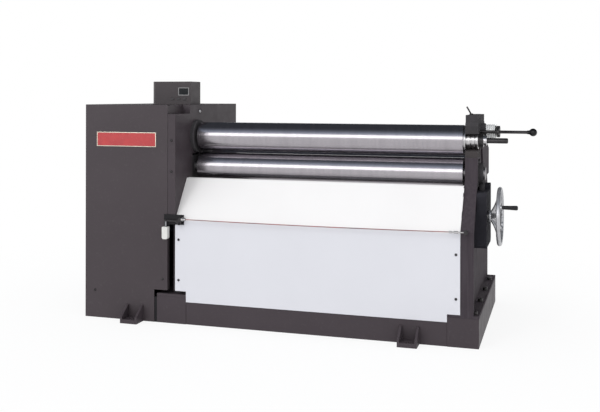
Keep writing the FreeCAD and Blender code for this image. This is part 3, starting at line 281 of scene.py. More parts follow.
dark_enamel = enamel("dark_machine_enamel", ENAMEL_DARK, ENAMEL_WORN_AND_EDGE_LIGHT)
for node in (
    "base_left_block",
    "base_right_block",
    "base_front_beam",
    "base_rear_beam",
    "feet",
):
    eased(node + "_painted", node, FRAME_EDGE, dark_enamel)
# The square tubes under the cabinet are near black: painted shade in the seam between
# the cabinet and the left base block. The motor stand and trip bracket are really
# black.
black_enamel_and_seam_shade = enamel("black_enamel_and_seam_shade", (0.011, 0.010, 0.012), (0.03, 0.028, 0.028))
coat(black_enamel_and_seam_shade, "cabinet_rails")

# ----------------------------------------------------------------- end frames
# Two thick plates that carry every roll. They are flame cut, milled at the seats and
# slots, welded to a flanged sole and held down on the floor frame by four socket
# screws, whose heads are blackened and lightly oiled.
PLATE_EDGE = 1.2
SCREW_EDGE = 0.8

# A darker, rougher copy of the frame enamel, for the right plate: painted shade for its
# unlit outer side. Its upright runs are real.
shaded_plate_enamel = enamel(
    "shaded_plate_enamel",
    (0.050, 0.040, 0.047),
    (0.12, 0.105, 0.112),
    rough=0.70,
    specular=0.08,
    peel=0.14,
    runs=0.16,
)
eased("left_end_frame_painted", "left_end_frame", PLATE_EDGE, dark_enamel)
eased("right_end_frame_painted", "right_end_frame", PLATE_EDGE, shaded_plate_enamel)


def oiled_black(name, colour, rough):
    """Hot-blackened steel with a film of oil."""
    finish = Finish(name, metal=0.55, specular=0.4)
    body = finish.tint(finish.spots(30, 4, (0.35, 0.65)), colour, shade(colour, 1.7))
    rubbed = finish.times(finish.edges(0.8), 0.6)
    finish.colour(finish.tint(rubbed, body, (0.22, 0.21, 0.21)))
    finish.roughness(finish.spots(12, 3, (0.3, 0.7), (rough - 0.08, rough + 0.1)))
    finish.relief(finish.speckle(3, 2), 0.03)
    return finish.material


blackened = oiled_black("blackened_steel", (0.028, 0.026, 0.027), 0.38)
eased("hold_down_screws", "frame_bolts", SCREW_EDGE, blackened)

# ----------------------------------------------------------------------- rolls
# Three solid steel rolls of one diameter, turned, ground and polished. Fine turning
# marks run round them. The upper roll's free end is a stepped journal with three
# lands and oil grooves between them, and a blackened stub in which a lift bar sits.
ROLL_LEFT = -415.5
ROLL_RIGHT = 854.5
ROLL_RADIUS = 68.5
ROLL_CHAMFER = 2
POLISHED_SPAN = (ROLL_LEFT - 0.5, ROLL_RIGHT + 0.5)
STUB_RADIUS = 30
STUB_CHAMFER = 3
UPPER_ROLL = (-203.5, 860.5)
FRONT_ROLL = (-203.5, 714)
REAR_ROLL = (-43.5, 725)
UPPER_LEFT = -630
JOURNAL_RADIUS = 40
COLLAR_RADIUS = 52
COLLAR_END = 862.5
GROOVE_RADIUS = 34
LANDS = ((869, 882), (887, 901), (905, 916))
BLACK_START = 916.5
BLACK_END = 938
TIP_RADIUS = 22
TIP_END = 953


def turned(name, profile, axis, steps=128, sharp=25):
    """A piece turned about an axis along the rolls, from (length, radius) points."""
    edit = bmesh.new()
    y, z = axis
    row = [edit.verts.new((x * MM, y * MM, (z + r) * MM)) for x, r in profile]
    lines = [edit.edges.new(pair) for pair in zip(row, row[1:])]
    bmesh.ops.spin(
        edit,
        geom=row + lines,
        cent=(0, y * MM, z * MM),
        axis=(1, 0, 0),
        angle=math.tau,
        steps=steps,
        use_merge=True,
    )
    bmesh.ops.remove_doubles(edit, verts=edit.verts, dist=0.5 * MERGE * MM)
    return piece_from(name, edit, sharp)


def ground_steel(name, colour, rough, streak=0.5):
    """Ground and polished steel: fine rings, faint chatter bands and stains."""
    finish = Finish(name, metal=1.0)
    rings = finish.speckle(20, 6, 0.75, (34, 0.5, 0.5))
    stains = finish.speckle(100, 4, 0.6, (3, 0.6, 0.6))
    ringed = finish.level(rings, (0.3, 0.7), (0, streak))
    body = finish.tint(ringed, colour, shade(colour, 0.78))
    stained = finish.level(stains, (0.45, 0.8), (0, 0.5))
    body = finish.tint(stained, body, shade(colour, 0.72))
    chatter = finish.speckle(20, 3, 0.6, (1.5, 0.08, 0.08))
    banded = finish.level(chatter, (0.42, 0.68), (0, 0.18))
    finish.colour(finish.tint(banded, body, shade(colour, 0.75)))
    finish.roughness(finish.level(chatter, (0.35, 0.65), (rough - 0.02, rough + 0.04)))
    finish.relief(rings, 0.004, 0.2)
    return finish.material


polished = ground_steel("polished_roll_steel", (0.42, 0.398, 0.425), 0.2)
journal_steel = ground_steel("journal_steel", (0.58, 0.57, 0.58), 0.3)
stub_steel = ground_steel("stub_steel", (0.26, 0.25, 0.26), 0.36, 0.8)


def dress_by_length(piece, finishes, starts):
    """Gives the faces of a piece one finish after another along the machine."""
    piece.data.materials.clear()
    for finish in finishes:
        piece.data.materials.append(finish)
    for face in piece.data.polygons:
        face.material_index = sum(face.center.x > start * MM for start in starts)
    return piece


roll_body = [
    (ROLL_LEFT, ROLL_RADIUS - ROLL_CHAMFER),
    (ROLL_LEFT + ROLL_CHAMFER, ROLL_RADIUS),
    (ROLL_RIGHT - ROLL_CHAMFER, ROLL_RADIUS),
    (ROLL_RIGHT, ROLL_RADIUS - ROLL_CHAMFER),
]
lands = [
    point
    for start, end in LANDS
    for point in (
        (start, GROOVE_RADIUS),
        (start, JOURNAL_RADIUS - 1),
        (start + 1, JOURNAL_RADIUS),
        (end - 1, JOURNAL_RADIUS),
        (end, JOURNAL_RADIUS - 1),
        (end, GROOVE_RADIUS),
    )
]
upper_roll = turned(
    "upper_roll_ground",
    [
        (UPPER_LEFT, 0),
        (UPPER_LEFT, JOURNAL_RADIUS),
        (ROLL_LEFT, JOURNAL_RADIUS),
        *roll_body,
        (ROLL_RIGHT, COLLAR_RADIUS),
        (COLLAR_END - 1, COLLAR_RADIUS),
        (COLLAR_END, COLLAR_RADIUS - 1),
        (COLLAR_END, GROOVE_RADIUS),
        *lands[:-1],
        (LANDS[-1][1], STUB_RADIUS),
        (BLACK_END - 1, STUB_RADIUS),
        (BLACK_END + 1, STUB_RADIUS - 2),
        (BLACK_END + 1, TIP_RADIUS),
        (TIP_END - 1.5, TIP_RADIUS),
        (TIP_END, TIP_RADIUS - 1.5),
        (TIP_END, 0),
    ],
    UPPER_ROLL,
)
dress_by_length(
    upper_roll,
    [journal_steel, polished, journal_steel, blackened, journal_steel],
    (*POLISHED_SPAN, BLACK_START, BLACK_END),
)
settle(upper_roll, None, "upper_roll")

for node, left, right, axis in (
    ("front_roll", -575, 948, FRONT_ROLL),
    ("rear_roll", -488, 906, REAR_ROLL),
):
    plain_roll = turned(
        node + "_ground",
        [
            (left, 0),
            (left, STUB_RADIUS - 1),
            (left + 1, STUB_RADIUS),
            (ROLL_LEFT, STUB_RADIUS),
            *roll_body,
            (ROLL_RIGHT, STUB_RADIUS),
            (right - STUB_CHAMFER, STUB_RADIUS),
            (right, STUB_RADIUS - STUB_CHAMFER),
            (right, 0),
        ],
        axis,
    )
    dress_by_length(plain_roll, [stub_steel, polished, stub_steel], POLISHED_SPAN)
    settle(plain_roll, None, node)

# The bar in the roll's free end is the grip for swinging it up. Plain turned bar,
# blackened, with a rounded end.
BAR_RADIUS = 12
BAR_END = 1044

lift_bar = turned(
    "lift_bar_turned",
    [
        (TIP_END, 0),
        (TIP_END, BAR_RADIUS),
        (BAR_END - 6, BAR_RADIUS),
        (BAR_END - 3, BAR_RADIUS - 0.6),
        (BAR_END - 1, BAR_RADIUS - 2),
        (BAR_END, BAR_RADIUS - 4),
        (BAR_END, 0),
    ],
    UPPER_ROLL,
    steps=48,
    sharp=50,
)
settle(lift_bar, blackened, "lift_bar")

# ------------------------------------------------- bearings of the upper roll
# On the left a flanged iron bush. On the right a saddle under the journal and a heavy
# cap over it, both cast, milled on their joint faces and painted with the frame. The
# pull pin on the cap is a short bent bar in a turned foot.
CAP_EDGE = 2.5
SADDLE_EDGE = 1.5
PIN_EDGE = 0.8


def casting(name, colour, worn, rough=0.8, specular=0.08):
    """Painted iron casting: sand texture under the paint, rubbed corners."""
    finish = Finish(name, specular=specular)
    body = finish.tint(finish.spots(50, 4, (0.3, 0.7)), colour, shade(colour, 0.75))
    rubbed = finish.times(finish.edges(2.2), finish.spots(15, 3, (0.3, 0.6), (0, 0.8)))
    finish.colour(finish.tint(rubbed, body, worn))
    finish.roughness(finish.spots(20, 3, (0.2, 0.8), (rough - 0.08, rough + 0.08)))
    finish.relief(finish.speckle(6, 4), 0.5, 0.45)
    return finish.material


dark_casting = casting("dark_casting", (0.056, 0.052, 0.055), (0.12, 0.115, 0.118))
saddle_casting = casting("saddle_casting", (0.06, 0.052, 0.052), (0.14, 0.13, 0.13))
eased("journal_cap_cast", "journal_cap", CAP_EDGE, dark_casting)
eased("journal_saddle_cast", "journal_saddle", SADDLE_EDGE, saddle_casting)
coat(dark_casting, "upper_roll_bush")
coat(blackened, "cap_hinge_pin")
eased("cap_pull_pin_turned", "cap_pull_pin", PIN_EDGE, blackened)

# ---------------------------------------------------------------- release rod
# A turned plunger with a disc and a collar holds the cap shut. Its coil spring is of
# zinc-plated wire. The hand rod beside it is tied to the collar by a lug and ends in
# a black pressed ball.
ROD_EDGE = 0.8
SPRING_AXIS = (-118.5, 898)
SPRING_START = 944.2
SPRING_RADIUS = 28.9
SPRING_WIRE = 4.1
SPRING_LENGTH = 41.4
SPRING_TURNS = 5
SPRING_STEPS = 40
BALL_AXIS = (-160.5, 898)
BALL_X = 1149
BALL_RADIUS = 17.4

eased("release_rod_turned", "release_rod", ROD_EDGE, blackened)


def quarter_turn(edit, axis):
    """Turns an edited mesh by a quarter about an axis through the middle."""
    turn = Matrix.Rotation(math.pi / 2, 3, axis)
    bmesh.ops.rotate(edit, verts=edit.verts, cent=(0, 0, 0), matrix=turn)


def shift(edit, place):
    """Moves an edited mesh from the middle to its place."""
    bmesh.ops.translate(edit, verts=edit.verts, vec=Vector(place) * MM)


edit = bmesh.new()
bmesh.ops.create_circle(
    edit, cap_ends=True, cap_tris=False, segments=14, radius=SPRING_WIRE * MM
)
quarter_turn(edit, "X")
shift(edit, (SPRING_START, SPRING_AXIS[0], SPRING_AXIS[1] + SPRING_RADIUS))
bmesh.ops.spin(
    edit,
    geom=edit.faces[:],
    cent=(0, SPRING_AXIS[0] * MM, SPRING_AXIS[1] * MM),
    axis=(1, 0, 0),
    dvec=(SPRING_LENGTH / SPRING_TURNS / SPRING_STEPS * MM, 0, 0),
    angle=math.tau * SPRING_TURNS,
    steps=SPRING_STEPS * SPRING_TURNS,
    use_duplicate=False,
)
spring = piece_from("release_spring_wound", edit, 60)


def bright_metal(name, colour, rough, metal=1.0):
    """Plated or polished metal with finger marks and small dulled patches."""
    finish = Finish(name, metal=metal)
    smear = finish.spots(30, 4, (0.35, 0.7))
    finish.colour(finish.tint(smear, colour, shade(colour, 0.8)))
    finish.roughness(finish.spots(12, 3, (0.3, 0.75), (rough, rough + 0.12)))
    finish.relief(finish.speckle(4, 2), 0.01, 0.2)
    return finish.material


# Near white and partly matt: the zinc plating's pale tone and a painted sheen as well.
plated_wire_and_sheen = bright_metal("zinc_wire_and_sheen", (0.88, 0.88, 0.87), 0.45, metal=0.35)
settle(spring, plated_wire_and_sheen, "release_spring")
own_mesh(spring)


def moulded(name, colour, rough=0.4, specular=0.5):
    """Moulded plastic with a fine even grain."""
    finish = Finish(name, specular=specular)
    cloud = finish.spots(40, 3, (0.3, 0.7))
    finish.colour(finish.tint(cloud, colour, shade(colour, 0.86)))
    finish.roughness(finish.spots(10, 2, (0.2, 0.8), (rough - 0.05, rough + 0.07)))
    finish.relief(finish.speckle(0.7, 2), 0.04)
    return finish.material


black_plastic = moulded("black_phenolic", (0.010, 0.010, 0.011), 0.25, 0.22)
ball_arc = [
    (
        BALL_X - BALL_RADIUS * math.cos(math.radians(angle)),
        BALL_RADIUS * math.sin(math.radians(angle)),
    )
    for angle in range(36, 180, 6)
]
ball = turned(
    "release_ball_pressed",
    [
        (BALL_X - 26, 0),
        (BALL_X - 26, 7.5),
        (BALL_X - 25, 8),
        (BALL_X - 16, 9.2),
        *ball_arc,
        (BALL_X + BALL_RADIUS, 0),
    ],
    BALL_AXIS,
    steps=48,
    sharp=60,
)
settle(ball, black_plastic, "release_ball")

# ------------------------------------------------- front roll's blocks and lift
# Cast blocks slide in the milled slots. A worm housing on each frame raises its block,
# and a turned cross shaft joins both, so that the roll stays level.
BLOCK_EDGE = 1.5
HOUSING_EDGE = 3

for node in ("front_block_left", "front_block_right"):
    eased(node + "_cast", node, BLOCK_EDGE, dark_casting)
housing_casting = casting(
    "housing_casting", (0.029, 0.028, 0.034), (0.07, 0.065, 0.07), specular=0.05
)
for node in ("front_adjuster_left", "front_adjuster_right"):
    eased(node + "_cast", node, HOUSING_EDGE, housing_casting)
turned_steel = ground_steel("turned_steel", (0.46, 0.45, 0.45), 0.32, 0.8)
coat(turned_steel, "cross_shaft")

# ------------------------------------------------------------------- handwheel
# A dished cast wheel, polished and plated: a rim with finger grips inside, five
# curved spokes, a turned hub, and a free-turning grip on a riveted pin.
WHEEL_AXIS = (-268.5, 535)
WHEEL_X = 962
RIM_X = 1014
RIM_CIRCLE = 118.5
RIM_RADIUS = 9.5
RIM_STEPS = 240
GRIP_DEPTH = 2.2
FINGER_GRIPS = 30
HUB_START = 964
HUB_END = 990
HUB_RADIUS = 25
HUB_BORE = 11.1
SPOKES = 5
SPOKE_STATIONS = 10
SPOKE_WIDE = 14
SPOKE_DEEP = 10
SPOKE_TIP = 7
SPOKE_FOOT = 12
SPOKE_RISE = 38
SPOKE_CROWN = 3.5
SPOKE_BOW = 10
SPOKE_INNER = 14
SPOKE_REACH = 96.5
GRIP_CIRCLE = 113
GRIP_ANGLE = math.radians(27)
GRIP_FOOT = 9
GRIP_PIN = 4

edit = bmesh.new()
bmesh.ops.create_circle(edit, cap_ends=False, segments=20, radius=RIM_RADIUS * MM)
quarter_turn(edit, "X")
shift(edit, (RIM_X, WHEEL_AXIS[0], WHEEL_AXIS[1] + RIM_CIRCLE))
bmesh.ops.spin(
    edit,
    geom=edit.verts[:] + edit.edges[:],
    cent=(0, WHEEL_AXIS[0] * MM, WHEEL_AXIS[1] * MM),
    axis=(1, 0, 0),
    angle=math.tau,
    steps=RIM_STEPS,
    use_merge=True,
)
rim_middle = Vector((RIM_X, *WHEEL_AXIS)) * MM
for corner in edit.verts:
    out = corner.co - rim_middle
    out.x = 0
    inward = max(0.0, (RIM_CIRCLE * MM - out.length) / (RIM_RADIUS * MM))
    wave = 0.5 - 0.5 * math.cos(FINGER_GRIPS * math.atan2(out.z, out.y))
    corner.co += out.normalized() * GRIP_DEPTH * MM * inward * wave


def spoke(edit, turn):
    """A curved tapering spoke, grown from the hub to the rim and turned into place."""
    loop = bmesh.ops.create_circle(edit, cap_ends=False, segments=12, radius=1)["verts"]
    bmesh.ops.scale(edit, verts=loop, vec=(SPOKE_DEEP * MM, SPOKE_WIDE * MM, 1))
    whole = list(loop)
    wide_before, middle_before = SPOKE_WIDE, Vector((0, 0, 0))
    for station in range(SPOKE_STATIONS + 1):
        share = station / SPOKE_STATIONS
        arch = math.sin(math.pi * share)
        rise = SPOKE_FOOT + SPOKE_RISE * share**0.62 + SPOKE_CROWN * arch
        reach = SPOKE_INNER + share * SPOKE_REACH
        middle = Vector((rise, SPOKE_BOW * arch, reach)) * MM
        wide = SPOKE_WIDE - (SPOKE_WIDE - SPOKE_TIP) * share**0.6
        if station:
            lines = {line for corner in loop for line in corner.link_edges}
            lines = [line for line in lines if all(end in loop for end in line.verts)]
            grown = bmesh.ops.extrude_edge_only(edit, edges=lines)["geom"]
            loop = [item for item in grown if isinstance(item, bmesh.types.BMVert)]
            whole += loop
        bmesh.ops.translate(edit, verts=loop, vec=middle - middle_before)
        bmesh.ops.scale(
            edit,
            verts=loop,
            vec=[wide / wide_before] * 3,
            space=Matrix.Translation(-middle),
        )
        wide_before, middle_before = wide, middle
    bmesh.ops.rotate(
        edit, verts=whole, cent=(0, 0, 0), matrix=Matrix.Rotation(turn, 3, "X")
    )
    bmesh.ops.translate(edit, verts=whole, vec=Vector((WHEEL_X, *WHEEL_AXIS)) * MM)


for number in range(SPOKES):
    spoke(edit, math.radians(90) + math.tau * number / SPOKES)
bmesh.ops.holes_fill(edit, edges=[line for line in edit.edges if line.is_boundary])
wheel = piece_from("handwheel_rim", edit, 50)
hub = turned(
    "handwheel_hub",
    [
        (HUB_START, HUB_BORE),
        (HUB_START, HUB_RADIUS - 5),
        (HUB_START + 1, HUB_RADIUS - 3),
        (HUB_START + 4, HUB_RADIUS - 0.8),
        (HUB_START + 8, HUB_RADIUS),
        (HUB_START + 13, HUB_RADIUS - 0.4),
        (HUB_START + 18, HUB_RADIUS - 2.5),
        (HUB_START + 22, HUB_RADIUS - 6),
        (HUB_END - 1, HUB_RADIUS - 10),
        (HUB_END, HUB_RADIUS - 11),
        (HUB_END, HUB_BORE),
        (HUB_START, HUB_BORE),
    ],
    WHEEL_AXIS,
    steps=64,
    sharp=40,
)
GRIP_Y = WHEEL_AXIS[0] - GRIP_CIRCLE * math.cos(GRIP_ANGLE)
GRIP_Z = WHEEL_AXIS[1] + GRIP_CIRCLE * math.sin(GRIP_ANGLE)
grip_pin = turned(
    "handwheel_grip_pin",
    [
        (RIM_X, 0),
        (RIM_X, GRIP_FOOT),
        (RIM_X + 14, GRIP_FOOT),
        (RIM_X + 15, GRIP_FOOT - 1),
        (RIM_X + 15, GRIP_PIN),
        (RIM_X + 77, GRIP_PIN),
        (RIM_X + 78, GRIP_PIN - 1),
        (RIM_X + 78, 0),
    ],
    (GRIP_Y, GRIP_Z),
    steps=32,
    sharp=40,
)
plated = bright_metal("plated_handwheel", (0.50, 0.50, 0.515), 0.32, metal=0.75)
settle(wheel, plated, "handwheel")
settle(hub, plated, body="handwheel", slot="bright_chrome")
settle(grip_pin, plated, body="handwheel", slot="bright_chrome")
coat(black_plastic, "crank_grip")

# ------------------------------------------------------------- rear roll's lift
# Slanted blocks with lifting screws, screw jacks that close the slots, a cross shaft
# and its small motor with a cast end flange.
JACK_EDGE = 1.2

for node in (
    "rear_block_left",
    "rear_block_right",
    "rear_jack_left",
    "rear_jack_right",
):
    eased(node + "_cast", node, JACK_EDGE, dark_casting)
coat(turned_steel, "rear_lift_shaft")
motor_enamel = enamel("motor_enamel", (0.05, 0.055, 0.06), (0.13, 0.13, 0.13))
coat(motor_enamel, "rear_lift_motor", "gearmotor")
coat(black_enamel_and_seam_shade, "gearmotor_stand")

# ---------------------------------------------------------------------- gearing
# Cut spur gears of plain steel with an oily film, keyed to the rolls' left ends. They
# run in the closed cabinet, driven by a pinion on the gearmotor.
gear_steel = ground_steel("gear_steel", (0.33, 0.31, 0.29), 0.4, 0.6)
coat(gear_steel, "upper_roll_gear", "front_roll_gear", "bull_gear", "drive_pinion")

# ---------------------------------------------------------------------- cabinet
# Folded sheet covers screwed together round the drive, in the same dark enamel. The
# plate on the front is blank: red enamel inside a bare pressed border.
SHEET_ENAMEL = {"rough": 0.45, "specular": 0.2, "peel": 0.07, "edge_tint": 0.5}
# The sheets' worn colour is also the painted highlight on their edges.
SHEET_WORN_AND_EDGE_LIGHT = (0.16, 0.145, 0.145)
SHEET_EDGE = 0.7
BADGE_BORDER = 4.5
BADGE_STEP = 0.6
BADGE_RIM = 0.8
BADGE_EDGE = 0.3
SQUARE = 1.2

cabinet_enamel = enamel(
    "cabinet_enamel", (0.060, 0.048, 0.053), SHEET_WORN_AND_EDGE_LIGHT, **SHEET_ENAMEL
)
for node in (
    "cabinet_front_cover",
    "cabinet_side_cover",
    "cabinet_top_cover",
    "cabinet_back_cover",
):
    eased(node + "_folded", node, SHEET_EDGE, cabinet_enamel)


def framed_plate(low, high, border, step, depth):
    """A thin plate between two corners, its face sunk inside a border."""
    edit = bmesh.new()
    bmesh.ops.create_cube(edit, size=1)
    bmesh.ops.scale(edit, verts=edit.verts, vec=high - low)
    bmesh.ops.translate(edit, verts=edit.verts, vec=(low + high) / 2)
    face = [side for side in edit.faces if side.normal.y < -0.9]
    bmesh.ops.inset_region(edit, faces=face, thickness=border * MM)
    bmesh.ops.inset_region(edit, faces=face, thickness=step * MM, depth=-depth * MM)
    return edit


def plate_red(name):
    """Red enamel on a thin plate, a little faded and uneven."""
    finish = Finish(name, specular=0.4)
    cloud = finish.spots(50, 4, (0.3, 0.7))
    body = finish.tint(cloud, (0.50, 0.045, 0.045), (0.40, 0.035, 0.04))
    chips = finish.spots(6, 3, (0.62, 0.72), (0, 0.3))
    finish.colour(finish.tint(chips, body, (0.55, 0.20, 0.17)))
    finish.roughness(finish.spots(20, 2, (0.3, 0.7), (0.32, 0.45)))
    finish.relief(finish.speckle(2, 2), 0.03)
    return finish.material


low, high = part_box("blank_badge")
edit = framed_plate(low, high, BADGE_BORDER, BADGE_STEP, BADGE_RIM)
square = [line for line in edit.edges if line.calc_face_angle(0) > SQUARE]
round_off(edit, square, BADGE_EDGE)
badge = piece_from("blank_badge_plate", edit, 30)
bare_border = bright_metal("bare_plate_border", (0.72, 0.66, 0.56), 0.45)
badge.data.materials.append(plate_red("plate_red"))
badge.data.materials.append(bare_border)
settle(badge, None, "blank_badge")
inset = Vector((1, 0, 1)) * (BADGE_BORDER + 0.2) * MM
inner_low, inner_high = low + inset, high - inset
for side in badge.data.polygons:
    middle = side.center
    inside = (
        inner_low.x < middle.x < inner_high.x
        and inner_low.z < middle.z < inner_high.z
        and side.normal.y < -0.5
    )
    side.material_index = 0 if inside else 1

# ------------------------------------------------------------------ control box
# A folded sheet case on the cabinet, with a display behind a light bezel and three
# sprung keys under it, which carry no words.
BEZEL = 4.5
BEZEL_DEEP = 2
WINDOW_STEP = 0.4
WINDOW_SUNK = 1.2
KEY_EDGE = 0.8
CASE_EDGE = 1.0

box_enamel = enamel("box_enamel", (0.070, 0.059, 0.062), SHEET_WORN_AND_EDGE_LIGHT, **SHEET_ENAMEL)
eased("control_box_case", "control_box", CASE_EDGE, box_enamel)
low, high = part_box("control_display")
high.y = low.y + BEZEL_DEEP * MM
edit = framed_plate(low, high, BEZEL, WINDOW_STEP, WINDOW_SUNK)
display = piece_from("display_bezel", edit, 30)
bezel_grey = moulded("bezel_grey", (0.34, 0.33, 0.33), 0.4, 0.2)
window = Finish("display_window", specular=0.2)
cloud = window.spots(8, 2, (0.4, 0.6))
window.colour(window.tint(cloud, (0.008, 0.010, 0.012), (0.016, 0.018, 0.02)))
window.roughness(window.spots(20, 2, (0.3, 0.7), (0.08, 0.16)))
display.data.materials.append(bezel_grey)
display.data.materials.append(window.material)
for side in display.data.polygons:
    sunk = side.normal.y < -0.9 and side.center.y > low.y + 0.5 * WINDOW_SUNK * MM
    side.material_index = 1 if sunk else 0
settle(display, None, "control_display")
key_grey = moulded("key_grey", (0.075, 0.07, 0.073), 0.5, 0.2)
for number in (1, 2, 3):
    eased(f"key_cap_{number}", f"control_key_{number}", KEY_EDGE, key_grey)

# ----------------------------------------------------------- white front covers
# Two folded sheets, sprayed semi-gloss white, held by low blackened screws. The lower
# one hangs straight and the upper one slopes back to the rolls.
WHITE_COAT = {"rough": 0.4, "specular": 0.3, "peel": 0.05, "edge_tint": 0.15, "grime": 0.03}
COVER_EDGE = 0.5
SHEET_FACE = -448.5
SCREW_SIZE = (6, 4)
SCREW_PLACES = (
    (-428, 203),
    (-428, 390),
    (846, 203),
    (846, 390),
    (-465, 849),
    (-465, 704),
    (-509, 203),
    (-863, 130),
)
SIDE_SCREW = (-446, -165, 982)
SIDE_SCREW_SIZE = (8, 5)

# The lower sheet's white is a darker, bluer copy of the cover white: painted shade on
# the upright sheet.
shaded_white_enamel = enamel(
    "shaded_white_enamel", (0.68, 0.675, 0.705), (0.60, 0.60, 0.62), **WHITE_COAT
)
white_slope = enamel(
    "white_slope_enamel", (0.81, 0.79, 0.775), (0.72, 0.71, 0.70), **WHITE_COAT
)
eased("lower_cover_sheet", "lower_front_cover", COVER_EDGE, shaded_white_enamel)
eased("upper_cover_sheet", "upper_front_cover", COVER_EDGE, white_slope)


def screw_head(radius, height):
    """A domed head with a round socket, standing on the ground of its own space."""
    edit = bmesh.new()
    outline = (
        (0, 0.45),
        (0.42, 0.45),
        (0.45, 0.96),
        (0.62, 0.92),
        (0.88, 0.62),
        (1, 0.2),
        (1, 0),
        (0, 0),
    )
    made = [
        edit.verts.new((out * radius * MM, 0, up * height * MM)) for out, up in outline
    ]
    lines = [edit.edges.new(pair) for pair in zip(made, made[1:])]
    bmesh.ops.spin(
        edit,
        geom=made + lines,
        cent=(0, 0, 0),
        axis=(0, 0, 1),
        angle=math.tau,
        steps=24,
        use_merge=True,
    )
    bmesh.ops.remove_doubles(edit, verts=edit.verts, dist=0.5 * MERGE * MM)
    return edit


edit = bmesh.new()
for x, z in SCREW_PLACES:
    head = screw_head(*SCREW_SIZE)
    quarter_turn(head, "X")
    shift(head, (x, SHEET_FACE, z))
    bmesh.ops.recalc_face_normals(head, faces=head.faces)
    loose = bpy.data.meshes.new("one screw")
    head.to_mesh(loose)
    head.free()
    edit.from_mesh(loose)
    bpy.data.meshes.remove(loose)
screws = piece_from("cover_screw_heads", edit, 35)
settle(screws, blackened, "cover_screws")

edit = screw_head(*SIDE_SCREW_SIZE)
quarter_turn(edit, "Y")
shift(edit, SIDE_SCREW)
side_screw = piece_from("skirt_screw_head", edit, 35)
bright_screw = bright_metal("plated_screw", (0.75, 0.75, 0.76), 0.25)
settle(side_screw, bright_screw, "cover_screws")

# ------------------------------------------------------------------- trip wire
# A coated wire rope stretched across the front. Pulling it tips a small bell crank on
# a folded bracket, which frees the plunger of an ivory limit switch. On the right it
# ends in two clamps and an eye round a headed post.
WIRE_RADIUS = 2
WIRE_ROUTE = ((-392.8, -462.5, 487), (212.45, -462.5, 480), (817.7, -462.5, 487))
ANCHOR_POST = 876
SWITCH_EDGE = 1.5
BRACKET_EDGE = 0.6
ROCKER_EDGE = 0.5
CLAMP_EDGE = 0.4

line = bpy.data.curves.new("trip_wire_rope", "CURVE")
line.dimensions = "3D"
line.bevel_depth = WIRE_RADIUS * MM
line.bevel_resolution = 4
line.resolution_u = 24
line.use_fill_caps = True
run = line.splines.new("NURBS")
run.points.add(len(WIRE_ROUTE) - 1)
for point, place in zip(run.points, WIRE_ROUTE):
    point.co = (*(Vector(place) * MM), 1)
run.order_u = 3
run.use_endpoint_u = True
rope = bpy.data.objects.new("trip_wire_rope", line)
bpy.context.scene.collection.objects.link(rope)


def rope_coat(name):
    """Clear red coat on a wire rope, rubbed dark in places, the strands showing."""
    finish = Finish(name, specular=0.4)
    rubbed = finish.spots(120, 4, (0.35, 0.65))
    finish.colour(finish.tint(rubbed, (0.36, 0.13, 0.12), (0.16, 0.10, 0.10)))
    finish.roughness(finish.spots(10, 2, (0.3, 0.7), (0.35, 0.5)))
    finish.relief(finish.speckle(2.2, 1, 0.5, (1, 0.3, 0.3)), 0.3)
    return finish.material


settle(rope, rope_coat("rope_coat"), "trip_wire")

ivory = moulded("ivory_plastic", (0.74, 0.73, 0.69))
eased("trip_switch_case", "trip_switch", SWITCH_EDGE, ivory)
grey_plastic = moulded("grey_plastic", (0.24, 0.24, 0.25))
coat(grey_plastic, "trip_plunger")
eased("trip_bracket_folded", "trip_bracket", BRACKET_EDGE, black_enamel_and_seam_shade)
eased("trip_rocker_cut", "trip_rocker", ROCKER_EDGE, blackened)
eased("wire_tensioner_turned", "wire_tensioner", CLAMP_EDGE, turned_steel)
anchor = eased("wire_anchor_turned", "wire_anchor", CLAMP_EDGE, turned_steel)
dress_by_length(anchor, [turned_steel, blackened], [ANCHOR_POST])

# ----------------------------------------------------------------------- floor
# A white floor under the machine. It takes the machine's shadow near the machine, and
# fades into the white surround further out.
FLOOR_HALF = 60
FADE_SPAN = (0.8, 2.6)
FADE_SHARE = (0.86, 1.0)
FLOOR_WHITE = (0.85, 0.85, 0.85, 1)

scene = bpy.context.scene


def white_for_view(looks, white, lit, output, fade=None):
    """Plain white for camera, glossy and transmission rays, the lit look for others."""
    paths = looks.add("ShaderNodeLightPath")
    total = paths.outputs["Is Camera Ray"]
    for kind in ("Is Glossy Ray", "Is Transmission Ray"):
        most = looks.add("ShaderNodeMath", operation="MAXIMUM")
        looks.feed(total, most.inputs[0])
        looks.feed(paths.outputs[kind], most.inputs[1])
        total = most.outputs[0]
    if fade is not None:
        seen = looks.add("ShaderNodeMath", operation="MULTIPLY")
        looks.feed(total, seen.inputs[0])
        looks.feed(fade, seen.inputs[1])
        total = seen.outputs[0]
    join = looks.add("ShaderNodeMixShader")
    looks.feed(total, join.inputs["Fac"])
    looks.feed(lit.outputs[0], join.inputs[1])
    looks.feed(white.outputs[0], join.inputs[2])
    looks.feed(join.outputs[0], looks.tree.nodes[output].inputs["Surface"])


def stage_piece(name, edit, finish_name):
    """Makes a part of the studio, with a material that has only its output yet."""
    mesh = bpy.data.meshes.new(name)
    edit.to_mesh(mesh)
    edit.free()
    piece = bpy.data.objects.new(name, mesh)
    scene.collection.objects.link(piece)
    material = bpy.data.materials.new(finish_name)
    material.use_nodes = True
    material.node_tree.nodes.remove(material.node_tree.nodes["Principled BSDF"])
    mesh.materials.append(material)
    return piece, Shading(material.node_tree)


